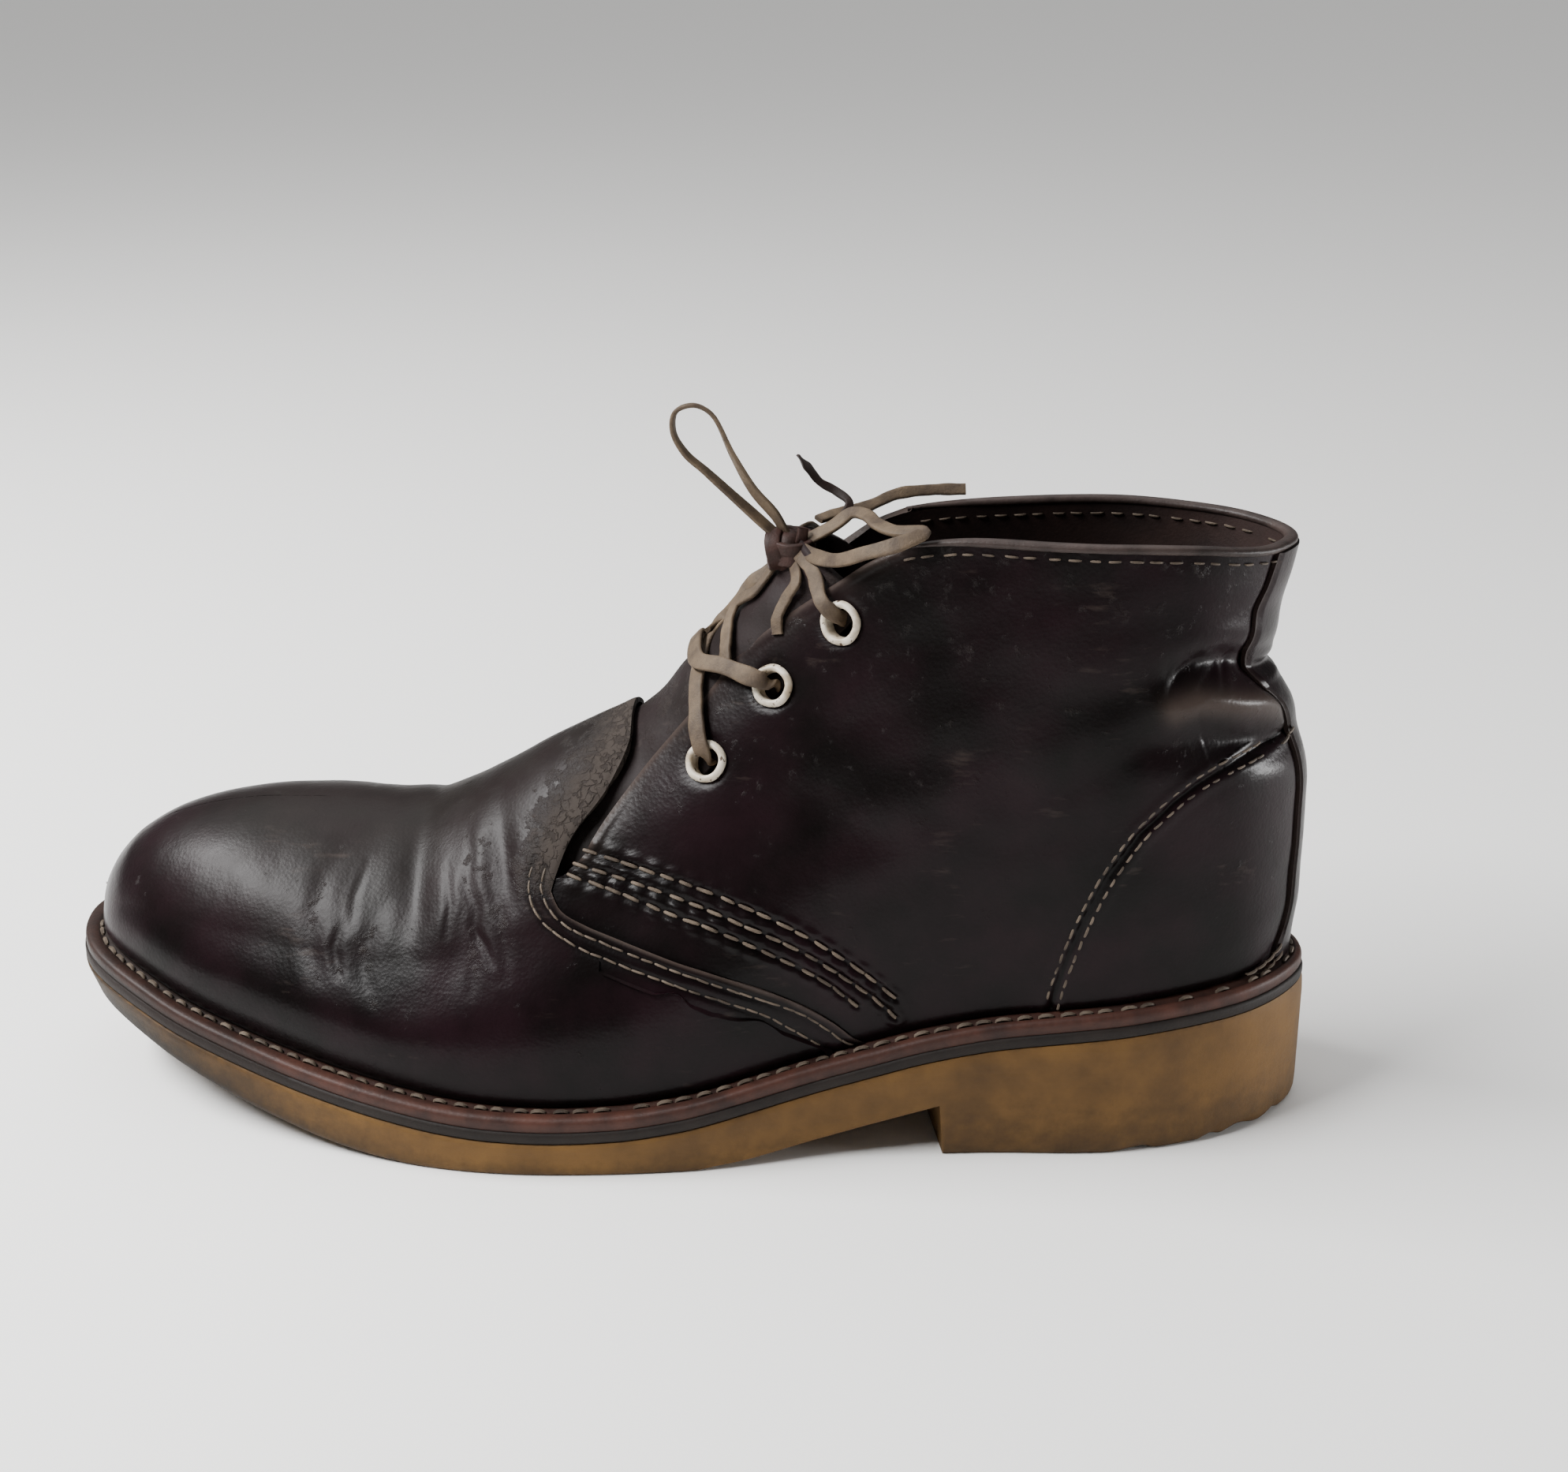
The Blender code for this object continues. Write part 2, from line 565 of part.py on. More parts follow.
def build_laces():
    """Crossings over the tongue, bars up to the knot, the knot, two loops and two ends."""
    start = {(key, side): over(*EYELETS[key], side, 3.2) for key in EYELETS for side in (-1, 1)}
    lateral = [start["1", -1], over(8.6, 98, -1, 2.8), over(8.4, 105, -1, 2.4), crown(9.5, 1.2),
               over(15, 114, 1, 2.6), start["2", 1]]
    medial = [start["1", 1], over(8.6, 98, 1, 2.8), over(8.4, 105, 1, 2.4), crown(10, 1.2),
              over(15, 110, -1, 2.6), start["2", -1]]
    lace_crossing("lace_crossing_lower", lateral, medial)
    lace_crossing("lace_crossing_upper",
                  [over(19.5, 119.4, -1, -1.3), crown(22.5, -1.2), over(26, 130, 1, -1.3)],
                  [over(20.2, 123.6, 1, -1.3), crown(22.5, -1.2), over(26.5, 127.4, -1, -1.3)])
    lace_tube("lace_bar_lateral", [start["3", -1], over(38.5, 128, -1, 3.4), (34.5, -14, 134.5),
                                   (31.5, -9.5, 136.3)])
    lace_tube("lace_bar_medial", [start["3", 1], over(37, 131, 1, 3.6), (31.5, 8, 138.8),
                                  (28.4, 4, 138.8)])
    bpy.ops.mesh.primitive_uv_sphere_add(segments=16, ring_count=10, radius=MM)
    knot = bpy.context.object
    knot.name = "lace_knot"
    knot.scale = KNOT_RADII
    knot.location = Vector(KNOT_CENTRE) * MM
    knot.parent = boot
    knot.data.materials.append(LACE_LEATHER)
    for home in list(knot.users_collection):
        home.objects.unlink(knot)
    parts.objects.link(knot)
    for name, route in FREE_LACES.items():
        lace_tube(name, route)


build_outsole()
build_midsole()
build_welt()
build_insole()
upper_shell = build_upper()
build_tongue()
for eyelet_key in EYELETS:
    for eyelet_side in (-1, 1):
        cut(upper_shell, build_eyelet(eyelet_key, eyelet_side))
build_laces()
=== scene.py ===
"""Looks of an ankle-high lace-up work boot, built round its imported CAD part.

Frame: metres, +Z up, floor at z = 0, toe along -X, outer (lateral) side of the foot along -Y.
Sizes in the classes are in millimetres unless a field says metres.
The "side view" of a place is its (x, z); the last turns it into a point of the upper.
"""

import logging
import math
from dataclasses import dataclass, field
from enum import Enum
from typing import Callable, ClassVar

import bmesh
import bpy
import numpy as np
from mathutils import Matrix, Vector


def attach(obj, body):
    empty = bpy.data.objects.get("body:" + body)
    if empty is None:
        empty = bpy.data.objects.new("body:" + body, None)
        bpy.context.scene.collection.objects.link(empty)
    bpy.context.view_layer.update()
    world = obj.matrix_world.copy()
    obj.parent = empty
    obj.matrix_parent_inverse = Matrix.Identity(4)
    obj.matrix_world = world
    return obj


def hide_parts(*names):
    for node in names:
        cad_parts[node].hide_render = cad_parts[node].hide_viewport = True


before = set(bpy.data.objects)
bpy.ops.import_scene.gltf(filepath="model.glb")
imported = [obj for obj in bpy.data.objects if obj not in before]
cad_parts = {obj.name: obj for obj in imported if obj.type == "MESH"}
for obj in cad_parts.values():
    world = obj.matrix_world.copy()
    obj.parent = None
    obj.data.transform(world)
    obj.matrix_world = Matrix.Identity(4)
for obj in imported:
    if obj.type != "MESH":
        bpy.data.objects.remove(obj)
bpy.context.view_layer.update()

MM = 0.001
BODY = "root"
LOG = logging.getLogger("work_boot")
RNG = np.random.default_rng(11)
Points = list[tuple[float, float]]
Object = bpy.types.Object
Material = bpy.types.Material
Socket = bpy.types.NodeSocket


class Side(Enum):
    """Half of the boot, as the sign of its Y."""

    LATERAL = -1
    MEDIAL = 1


# ---------------------------------------------------------------- curves
def smooth(points: Points, x: np.ndarray) -> np.ndarray:
    """Monotone cubic through (x, y) points, held flat beyond its ends.

    Args:
        points: places the curve goes through, in order of x.
        x: where to read it.

    Returns:
        The curve's height at each x.
    """
    px, py = np.array(points, float).T
    step = np.diff(px)
    slope = np.diff(py) / step
    product = slope[:-1] * slope[1:]
    total = np.where(product > 0, slope[:-1] + slope[1:], 1.0)
    inner = np.where(product > 0, 2 * product / total, 0.0)
    tangent = np.concatenate([slope[:1], inner, slope[-1:]])
    x = np.clip(np.asarray(x, float), px[0], px[-1])
    i = np.clip(np.searchsorted(px, x, side="right") - 1, 0, len(step) - 1)
    t = (x - px[i]) / step[i]
    value = (2 * t**3 - 3 * t**2 + 1) * py[i] + (t**3 - 2 * t**2 + t) * step[i] * tangent[i]
    return value + (3 * t**2 - 2 * t**3) * py[i + 1] + (t**3 - t**2) * step[i] * tangent[i + 1]


def spline(points: list, per_span: int, closed: bool = False) -> np.ndarray:
    """Centripetal Catmull-Rom curve.

    Args:
        points: places of any dimension that the curve passes.
        per_span: samples between two of them.
        closed: whether the last joins the first.

    Returns:
        The samples, one per row.
    """
    p = np.array(points, float)
    p = np.vstack([p[-1:], p, p[:2]]) if closed else np.vstack([2 * p[0] - p[1], p, 2 * p[-1] - p[-2]])
    out = []
    for a, b, c, d in zip(p[:-3], p[1:-2], p[2:-1], p[3:]):
        tb = np.linalg.norm(b - a) ** 0.5
        tc = tb + np.linalg.norm(c - b) ** 0.5
        td = tc + np.linalg.norm(d - c) ** 0.5
        t = np.linspace(tb, tc, per_span, endpoint=False)[:, None]
        ab = ((tb - t) * a + t * b) / tb
        bc = ((tc - t) * b + (t - tb) * c) / (tc - tb)
        cd = ((td - t) * c + (t - tc) * d) / (td - tc)
        low = ((tc - t) * ab + t * bc) / tc
        high = ((td - t) * bc + (t - tb) * cd) / (td - tb)
        out.append(((tc - t) * low + (t - tb) * high) / (tc - tb))
    if not closed:
        out.append(p[-2:-1])
    return np.vstack(out)


def resample(points: np.ndarray, shares: np.ndarray) -> np.ndarray:
    """Points at shares (0 to 1) of a polyline's length."""
    length = np.concatenate([[0], np.cumsum(np.linalg.norm(np.diff(points, axis=0), axis=1))])
    return np.stack([np.interp(shares * length[-1], length, axis) for axis in points.T], -1)


def distance(x: np.ndarray, z: np.ndarray, points: Points) -> tuple[np.ndarray, np.ndarray]:
    """How far places are from a polyline in the side view.

    Args:
        x: places along the boot.
        z: their heights.
        points: the polyline's corners.

    Returns:
        The distance, and the share of the polyline's length at the nearest point.
    """
    p = np.array(points, float)
    spans = np.linalg.norm(np.diff(p, axis=0), axis=1)
    begun = np.concatenate([[0], np.cumsum(spans)])
    best = np.full(np.shape(x), np.inf)
    share = np.zeros(np.shape(x))
    for a, b, span, start in zip(p[:-1], p[1:], spans, begun):
        t = np.clip(((x - a[0]) * (b[0] - a[0]) + (z - a[1]) * (b[1] - a[1])) / span**2, 0, 1)
        away = np.hypot(x - a[0] - t * (b[0] - a[0]), z - a[1] - t * (b[1] - a[1]))
        nearer = away < best
        best = np.where(nearer, away, best)
        share = np.where(nearer, (start + t * span) / begun[-1], share)
    return best, share


def bell(away: np.ndarray, width: float) -> np.ndarray:
    """Soft bump of height one that fades within a width."""
    return np.exp(-(away / width) ** 2)


def fade(value: np.ndarray, span: float) -> np.ndarray:
    """Share of a span, held to 0 and 1."""
    return np.clip(value / span, 0, 1)


def band(x: np.ndarray, z: np.ndarray, points: Points, width: float) -> np.ndarray:
    """Mask that is one along a polyline of the side view and fades within a width."""
    return bell(distance(x, z, points)[0], width)


def patch(bottom: np.ndarray, top: np.ndarray, left: np.ndarray, right: np.ndarray,
          across: np.ndarray, along: np.ndarray) -> tuple[np.ndarray, np.ndarray]:
    """Net of places in the side view between four border lines.

    Args:
        bottom: lower border from left to right.
        top: upper border from left to right.
        left: left border from bottom to top.
        right: right border from bottom to top.
        across: shares of the columns.
        along: shares of the rows.

    Returns:
        x and z of the net, rows first.
    """
    u, v = across[None, :, None], along[:, None, None]
    b, t = resample(bottom, across)[None], resample(top, across)[None]
    l, r = resample(left, along)[:, None], resample(right, along)[:, None]
    corners = (1 - u) * ((1 - v) * b[:, :1] + v * t[:, :1]) + u * ((1 - v) * b[:, -1:] + v * t[:, -1:])
    net = (1 - v) * b + v * t + (1 - u) * l + u * r - corners
    return net[..., 0], net[..., 1]


# ---------------------------------------------------------------- the last
@dataclass
class Last:
    """Form of the foot that every piece is laid on, as the CAD part has it."""

    outline: tuple = (
        (-153, 6), (-147.5, -13), (-127, -31), (-95, -45), (-62, -54.8), (-35, -58), (5, -54), (40, -45),
        (75, -40), (110, -36.5), (136, -25.5), (149, -12), (153, -2), (150.5, 9), (137, 24), (112, 33),
        (80, 34.5), (45, 33.5), (10, 37), (-25, 47), (-55, 56), (-85, 57.3), (-116, 49), (-135, 37),
        (-147.5, 22))
    tread_line: tuple = (
        (-153, 19.6), (-139, 17.8), (-128, 15.4), (-117, 12.3), (-105, 8.9), (-93, 5.8), (-78, 2.5),
        (-66, 0.8), (-54, 0), (153, 0))
    crepe_line: tuple = (
        (-153, 27.8), (-139, 25.8), (-128, 23.5), (-117, 20.6), (-105, 17.9), (-92, 15.2), (-77, 12.7),
        (-62, 10.6), (-50, 9.2), (-37, 8.3), (-24, 8), (-9, 8.5), (6, 10.4), (22, 13.9), (49, 20.6),
        (63, 24.3), (77, 27), (91, 28.8), (105, 30.2), (130, 31.8), (153, 32.2))
    ridge_line: tuple = (
        (-146.5, 40), (-145.8, 42.5), (-144.4, 45.5), (-141.3, 50.4), (-136, 55.6), (-126, 61),
        (-113, 64.4), (-100, 65.9), (-88, 66.2), (-75, 66.2), (-62, 67.6), (-51, 72), (-41, 77.7),
        (-31, 84), (-19, 90.6), (-10, 95.4), (0, 103), (10, 113), (20, 124.5), (30, 138), (40, 157),
        (52, 186), (70, 232), (95, 285), (150, 350))
    back_line: tuple = (
        (30, 147.6), (44, 148.4), (55, 149.3), (70, 149.2), (82, 149), (91, 147.6), (99, 145), (106, 141.6),
        (112, 139.4), (119, 139), (127, 139.9), (135, 141.8), (146, 143.8))
    centre_points: tuple = ((-110, 6), (-60, 4), (0, 2), (60, -1))
    roundness: tuple = (
        (-150, 2.3), (-100, 2.2), (-70, 1.9), (-40, 1.5), (-15, 1.35), (150, 1.35))
    bulge: tuple = ((-150, 0.03), (-100, 0.05), (0, 0.05), (60, 0.08), (150, 0.08))
    flange_front: float = 6.5
    flange_heel: float = 4.6
    layers: float = 6.3          # midsole and welt together

    def __post_init__(self) -> None:
        """Work out the sole's loop, the line where the upper meets the welt, and the centre line."""
        self.loop = spline(list(self.outline), 40, closed=True)
        ahead = np.roll(self.loop, -1, axis=0) - np.roll(self.loop, 1, axis=0)
        self.inward = np.stack([-ahead[:, 1], ahead[:, 0]], 1)
        self.inward /= np.linalg.norm(self.inward, axis=1)[:, None]
        loop = self.inset(self.flange_front, self.flange_heel)
        toe = int(np.argmin(loop[:, 0]))
        loop = np.roll(loop, -toe, axis=0)
        heel = int(np.argmax(loop[:, 0]))
        self.feather = {Side.LATERAL: loop[:heel + 1],
                        Side.MEDIAL: np.vstack([loop[heel:], loop[:1]])[::-1]}
        self.toe_x = float(loop[0, 0])
        self.heel_x = float(loop[heel, 0])
        self.centre_line = [tuple(loop[0]), *self.centre_points, tuple(loop[heel])]

    def inset(self, front: float, heel: float) -> np.ndarray:
        """Sole outline moved inward, by one amount in front and another at the heel."""
        blend = fade(self.loop[:, 0] - 40, 60)
        return self.loop + self.inward * (front + (heel - front) * blend)[:, None]

    def crepe(self, x: np.ndarray) -> np.ndarray:
        """Height of the crepe's top."""
        return smooth(self.crepe_line, x)

    def welt(self, x: np.ndarray) -> np.ndarray:
        """Height of the welt's top, where the upper stands."""
        return self.crepe(x) + self.layers

    def ridge(self, x: np.ndarray) -> np.ndarray:
        """Height of the last's highest line."""
        return smooth(self.ridge_line, x)

    def centre(self, x: np.ndarray) -> np.ndarray:
        """Y of the middle of the last."""
        return smooth(self.centre_line, x)

    def half_width(self, x: np.ndarray, z: np.ndarray, side: Side) -> np.ndarray:
        """Half width of the last at a place in the side view.

        Args:
            x: places along the boot.
            z: their heights.
            side: half of the boot.

        Returns:
            Half widths.
        """
        edge = self.feather[side]
        base = np.abs(np.interp(x, edge[:, 0], edge[:, 1]) - self.centre(x))
        low = self.welt(x)
        rise = np.clip((z - low) / (self.ridge(x) - low), 0, 1)
        swell = 1 + smooth(self.bulge, x) * np.sin(math.pi * np.clip(rise / 0.55, 0, 1)) ** 1.6
        return base * swell * np.sqrt(np.clip(1 - rise ** smooth(self.roundness, x), 0, 1))

    def point(self, x: np.ndarray, z: np.ndarray, side: Side) -> np.ndarray:
        """Point of the last's surface for a place in the side view.

        Args:
            x: places along the boot.
            z: their heights.
            side: half of the boot.

        Returns:
            Points in millimetres.
        """
        x, z = np.broadcast_arrays(np.asarray(x, float), np.asarray(z, float))
        lean = smooth(self.back_line, z) - self.heel_x
        shift = lean * np.clip((x - 55) / (self.heel_x - 55), 0, 1) ** 1.6
        y = self.centre(x) + side.value * self.half_width(x, z, side)
        return np.stack([x + shift, y, z], -1)

    def normal(self, x: np.ndarray, z: np.ndarray, side: Side) -> np.ndarray:
        """Outward unit normal of the last.

        Args:
            x: places along the boot.
            z: their heights.
            side: half of the boot.

        Returns:
            Directions of length one.
        """
        step = 0.4
        along = self.point(x + step, z, side) - self.point(x - step, z, side)
        up = self.point(x, z + step, side) - self.point(x, z - step, side)
        normal = np.cross(along, up) * -side.value
        return normal / np.maximum(np.linalg.norm(normal, axis=-1, keepdims=True), 1e-9)

    def over(self, x: float, z: float, side: Side, lift: float) -> np.ndarray:
        """Point at a lift above the last's surface."""
        x, z = np.asarray(x, float), np.asarray(z, float)
        return self.point(x, z, side) + lift * self.normal(x, z, side)

    def crown(self, x: float, lift: float) -> np.ndarray:
        """Point at a lift above the ridge."""
        slope = float(self.ridge(x + 0.5) - self.ridge(x - 0.5))
        away = lift / math.hypot(1, slope)
        return np.array([x - slope * away, float(self.centre(x)), float(self.ridge(x)) + away])

    def x_at_half_width(self, width: float, z: float, side: Side) -> float:
        """Place along the boot near the heel where the last has that half width."""
        x = np.linspace(self.heel_x, 90, 500)
        return float(np.interp(width, self.half_width(x, np.full(500, z), side), x))


# ---------------------------------------------------------------- materials
def linear(code: str) -> tuple[float, float, float, float]:
    """Linear colour of an sRGB hex value."""
    parts = [int(code[i:i + 2], 16) / 255 for i in (1, 3, 5)]
    return (*[c / 12.92 if c <= 0.04045 else ((c + 0.055) / 1.055) ** 2.4 for c in parts], 1.0)


def grain(size: float) -> float:
    """Texture scale whose features are about that many millimetres wide."""
    return 1 / (size * MM)


def plug(tree: bpy.types.NodeTree, node: bpy.types.Node, inputs: dict) -> None:
    """Link a node's inputs from sockets, and set the others to their values.

    Args:
        tree: node tree that holds the node.
        node: the node.
        inputs: by name or number, a value or a socket.
    """
    for key, value in inputs.items():
        if isinstance(value, Socket):
            tree.links.new(value, node.inputs[key])
        else:
            node.inputs[key].default_value = value


def add_node(tree: bpy.types.NodeTree, kind: str, inputs: dict | None = None,
             **settings: object) -> bpy.types.Node:
    """Add one node with its settings, values and links.

    Args:
        tree: node tree it goes into.
        kind: Blender's name of the node type, without its first part.
        inputs: by name or number, a value to set or a socket to link from.
        settings: properties of the node.

    Returns:
        The node.
    """
    node = tree.nodes.new("ShaderNode" + kind)
    for key, value in settings.items():
        setattr(node, key, value)
    plug(tree, node, inputs or {})
    return node


class Graph:
    """A new material and the few kinds of node that the finishes use."""

    def __init__(self, name: str) -> None:
        """Start the material; its patterns lie in the object's own space.

        Args:
            name: its name.
        """
        self.made = bpy.data.materials.new(name)
        self.made.use_nodes = True
        self.tree = self.made.node_tree
        self.place = self.add("TexCoord").outputs["Object"]

    def add(self, kind: str, inputs: dict | None = None, **settings: object) -> bpy.types.Node:
        """Add one node to the material."""
        return add_node(self.tree, kind, inputs, **settings)

    def mask(self, name: str) -> Socket:
        """Value of a mask of the mesh."""
        return self.add("Attribute", attribute_name=name).outputs["Fac"]

    def stretch(self, scale: tuple[float, float, float]) -> Socket:
        """Place with each axis scaled."""
        return self.add("Mapping", {"Vector": self.place, "Scale": scale}).outputs[0]

    def noise(self, size: float, detail: float, rough: float = 0.5, place: Socket | None = None) -> Socket:
        """Cloudy pattern.

        Args:
            size: width of its features in millimetres.
            detail: how many finer layers it has.
            rough: how strong they are.
            place: where it is read, if not in the object's own space.

        Returns:
            The pattern's value.
        """
        place = self.place if place is None else place
        inputs = {"Vector": place, "Scale": grain(size), "Detail": detail, "Roughness": rough}
        return self.add("TexNoise", inputs).outputs["Fac"]

    def ramp(self, value: Socket, low: float, high: float, start: float = 0.0, end: float = 1.0) -> Socket:
        """Value brought from low..high to start..end, and held there."""
        return self.add("MapRange", {0: value, 1: low, 2: high, 3: start, 4: end}).outputs[0]

    def sums(self, operation: str, *values: Socket | float) -> Socket:
        """Result of one mathematical operation."""
        return self.add("Math", dict(enumerate(values)), operation=operation).outputs[0]

    def blend(self, share: Socket, first: Socket | str, second: Socket | str) -> Socket:
        """Colour between two colours, each a socket or an sRGB hex value."""
        first, second = (linear(c) if isinstance(c, str) else c for c in (first, second))
        return self.add("Mix", {0: share, 6: first, 7: second}, data_type="RGBA").outputs[2]

    def bump(self, height: Socket, strength: float, depth: float, under: Socket | None = None,
             invert: bool = False) -> Socket:
        """Fine relief.

        Args:
            height: pattern of the relief.
            strength: share of it that shows.
            depth: height of the relief in metres.
            under: relief that it lies on.
            invert: whether the pattern is sunk.

        Returns:
            The bent normal.
        """
        inputs = {"Strength": strength, "Distance": depth, "Height": height}
        if under is not None:
            inputs["Normal"] = under
        return self.add("Bump", inputs, invert=invert).outputs[0]

    def finish(self, colour: Socket | tuple, roughness: Socket | float, normal: Socket,
               specular: float = 0.5) -> Material:
        """Connect the shader and give the material."""
        plug(self.tree, self.tree.nodes["Principled BSDF"],
             {"Base Color": colour, "Roughness": roughness, "Normal": normal, "Specular IOR Level": specular})
        return self.made


@dataclass(frozen=True)
class Leather:
    """Full-grain cowhide, aniline dyed and burnished with wax.

    The wax gives soft broad highlights on a nearly black oxblood ground. Where the wax has rubbed
    off, the hide shows lighter, rougher and cracked; the masks wear and edge say where, and the edge mask
    also paints a highlight on the ankle's bulge. Another mask lays dust and a painted reflection of the
    room on what faces up, and one more lays dirt and painted shade in seams and grooves.
    """

    name: str = "waxed_full_grain_cowhide"
    ground: str = "#080505"
    warm: str = "#180c10"
    # dust on top faces, and the painted reflection of the bright room there
    film: str = "#1f1b19"
    worn: str = "#352f2b"
    # scuffs and burnished edges, and the painted highlight on the ankle's bulge
    rubbed_and_highlight: str = "#463c37"
    # dirt in seams and grooves, and the painted shade there
    grime: str = "#050303"
    roughness: float = 0.24
    sheen: float = 0.11          # specular level: wax sunk into the pores reflects less than a film
    pores: float = 0.9           # real pores are about 0.2 mm; coarser so that they show
    grain_depth: float = 0.12

    def build(self) -> Material:
        """Material with tone, dust and painted reflection, scuffs, worn cracks, painted highlight, painted
        shade and pore grain.

        Returns:
            The material.
        """
        graph = Graph(self.name)
        film, wear, edge, grime = map(graph.mask, ("film", "wear", "edge", "grime"))
        tone = graph.blend(graph.ramp(graph.noise(24, 4), 0.38, 0.66), self.ground, self.warm)
        # Dust and dried wax lie on what faces up, thin and streaky; the same lighter tone paints the
        # reflection of the bright room on these top faces.
        streaks = graph.noise(9, 6, 0.65)
        dust_and_reflection_share = graph.sums("MULTIPLY", film, graph.ramp(streaks, 0.2, 0.75, 0.55, 1.0))
        dusty_and_reflecting = graph.blend(dust_and_reflection_share, tone, self.film)
        # Scuffs: short light scratches that run along the boot.
        scratch = graph.noise(2.6, 5, 0.6, graph.stretch((0.28, 1.0, 1.5)))
        scuffs = graph.ramp(graph.sums("MULTIPLY", scratch, graph.noise(19, 2)), 0.36, 0.5, 0.0, 0.3)
        # Cut edges are burnished; the edge mask also paints a highlight on the ankle's bulge in this lighter
        # colour.
        burnished_and_highlit = graph.blend(edge, graph.blend(scuffs, dusty_and_reflecting, self.rubbed_and_highlight), self.rubbed_and_highlight)
        # Worn hide is bare, with dark cracks about 3 mm apart.
        warp = graph.add("TexNoise", {"Vector": graph.place, "Scale": grain(3), "Detail": 3.0})
        bent = graph.add("VectorMath", {0: warp.outputs["Color"], 1: (0.006, 0.006, 0.003)},
                         operation="MULTIPLY")
        moved = graph.add("VectorMath", {0: graph.place, 1: bent.outputs[0]}, operation="ADD")
        cells = graph.add("TexVoronoi", {"Vector": moved.outputs[0], "Scale": grain(2.4)},
                          feature="DISTANCE_TO_EDGE")
        chopped = graph.sums("MULTIPLY_ADD", warp.outputs["Fac"], 0.9, cells.outputs["Distance"])
        bare = graph.ramp(graph.sums("ADD", wear, graph.noise(4.5, 6, 0.7)), 0.66, 1.3)
        shown = graph.sums("MULTIPLY", bare, graph.ramp(chopped, 0.42, 0.56, 0.5, 1.0))
        # Old polish and dirt stay in seams, grooves and along the welt; this darkening also paints the shade
        # that falls in the grooves, under the vamp's edge and beside the backstay.
        caked_and_shaded = graph.blend(grime, graph.blend(shown, burnished_and_highlit, self.worn), self.grime)
        dull = graph.sums("MULTIPLY_ADD", bare, 0.4, self.roughness)
        dull = graph.sums("MULTIPLY_ADD", dust_and_reflection_share, 0.14, dull)
        dull = graph.sums("MULTIPLY_ADD", streaks, 0.13, dull)
        pores = graph.add("TexVoronoi", {"Vector": graph.place, "Scale": grain(self.pores)})
        fine = graph.bump(pores.outputs["Distance"], self.grain_depth, 0.0002)
        rough = graph.bump(streaks, 0.35, 0.0004, fine)
        return graph.finish(caked_and_shaded, dull, graph.bump(shown, 0.9, 0.0006, rough), self.sheen)


@dataclass(frozen=True)
class Crepe:
    """Natural crepe rubber, pressed in sheets and cut with a knife.

    It is ochre and matt, with faint lines of the sheets and darker dirt low down and in hollows.
    """

    name: str = "natural_crepe_rubber"
    light: str = "#664a25"
    deep: str = "#46321a"
    dirt: str = "#1d160f"

    def build(self) -> Material:
        """Material with sheet lines, blotches and dirt that thickens towards the ground.

        Returns:
            The material.
        """
        graph = Graph(self.name)
        tone = graph.blend(graph.ramp(graph.noise(26, 5, 0.6), 0.35, 0.68), self.light, self.deep)
        speck = graph.noise(3.2, 8, 0.72)
        soiled = graph.ramp(graph.sums("MULTIPLY_ADD", speck, 0.7, graph.mask("dirt")), 0.46, 1.25)
        # Rolled sheets are about 0.8 mm thick; their lines are drawn 1.6 mm apart so that they show.
        sheets = graph.noise(1.6, 3, place=graph.stretch((0.05, 0.05, 1.0)))
        skin = graph.bump(speck, 0.4, 0.0004, graph.bump(sheets, 0.3, 0.0003))
        return graph.finish(graph.blend(soiled, tone, self.dirt), 0.62, skin, 0.2)


@dataclass(frozen=True)
class Matt:
    """Plain matt material with two tones of blotch, dirt and a fine skin.

    Used for moulded rubber, vegetable-tanned strip, linings, rawhide laces and waxed thread,
    which differ in their tones, blotch size and skin.
    """

    name: str
    light: str
    deep: str
    roughness: float
    blotch: float = 12.0
    skin: float = 0.8
    depth: float = 0.4
    soil: str = "#1c1411"
    sheen: float = 0.2

    def build(self) -> Material:
        """Material whose mask dirt adds soil.

        Returns:
            The material.
        """
        graph = Graph(self.name)
        tone = graph.blend(graph.ramp(graph.noise(self.blotch, 5, 0.6), 0.36, 0.66), self.light, self.deep)
        skin = graph.noise(self.skin, 4, 0.65)
        soiled = graph.ramp(graph.sums("MULTIPLY_ADD", skin, 0.5, graph.mask("dirt")), 0.34, 1.3)
        return graph.finish(graph.blend(soiled, tone, self.soil), self.roughness,
                            graph.bump(skin, self.depth, 0.0003), self.sheen)


@dataclass(frozen=True)
class ChippedEnamel:
    """Brass eyelet dipped in cream enamel, chipped at the rim down to the dull brown metal."""

    name: str = "cream_enamel_on_brass"
    enamel: str = "#c9bfae"
    stained: str = "#9b8c76"
    metal: str = "#4a3a2a"

    def build(self) -> Material:
        """Material with stains and chips.

        Returns:
            The material.
        """
        graph = Graph(self.name)
        tone = graph.blend(graph.ramp(graph.noise(3.5, 4), 0.42, 0.66), self.enamel, self.stained)
        chips = graph.ramp(graph.noise(1.7, 5, 0.6), 0.6, 0.63)
        return graph.finish(graph.blend(chips, tone, self.metal), 0.42,
                            graph.bump(chips, 0.6, 0.0002, invert=True))


def built(finish: Leather | Crepe | Matt | ChippedEnamel) -> Material:
    """Field whose default is the finish's material."""
    return field(default_factory=finish.build)


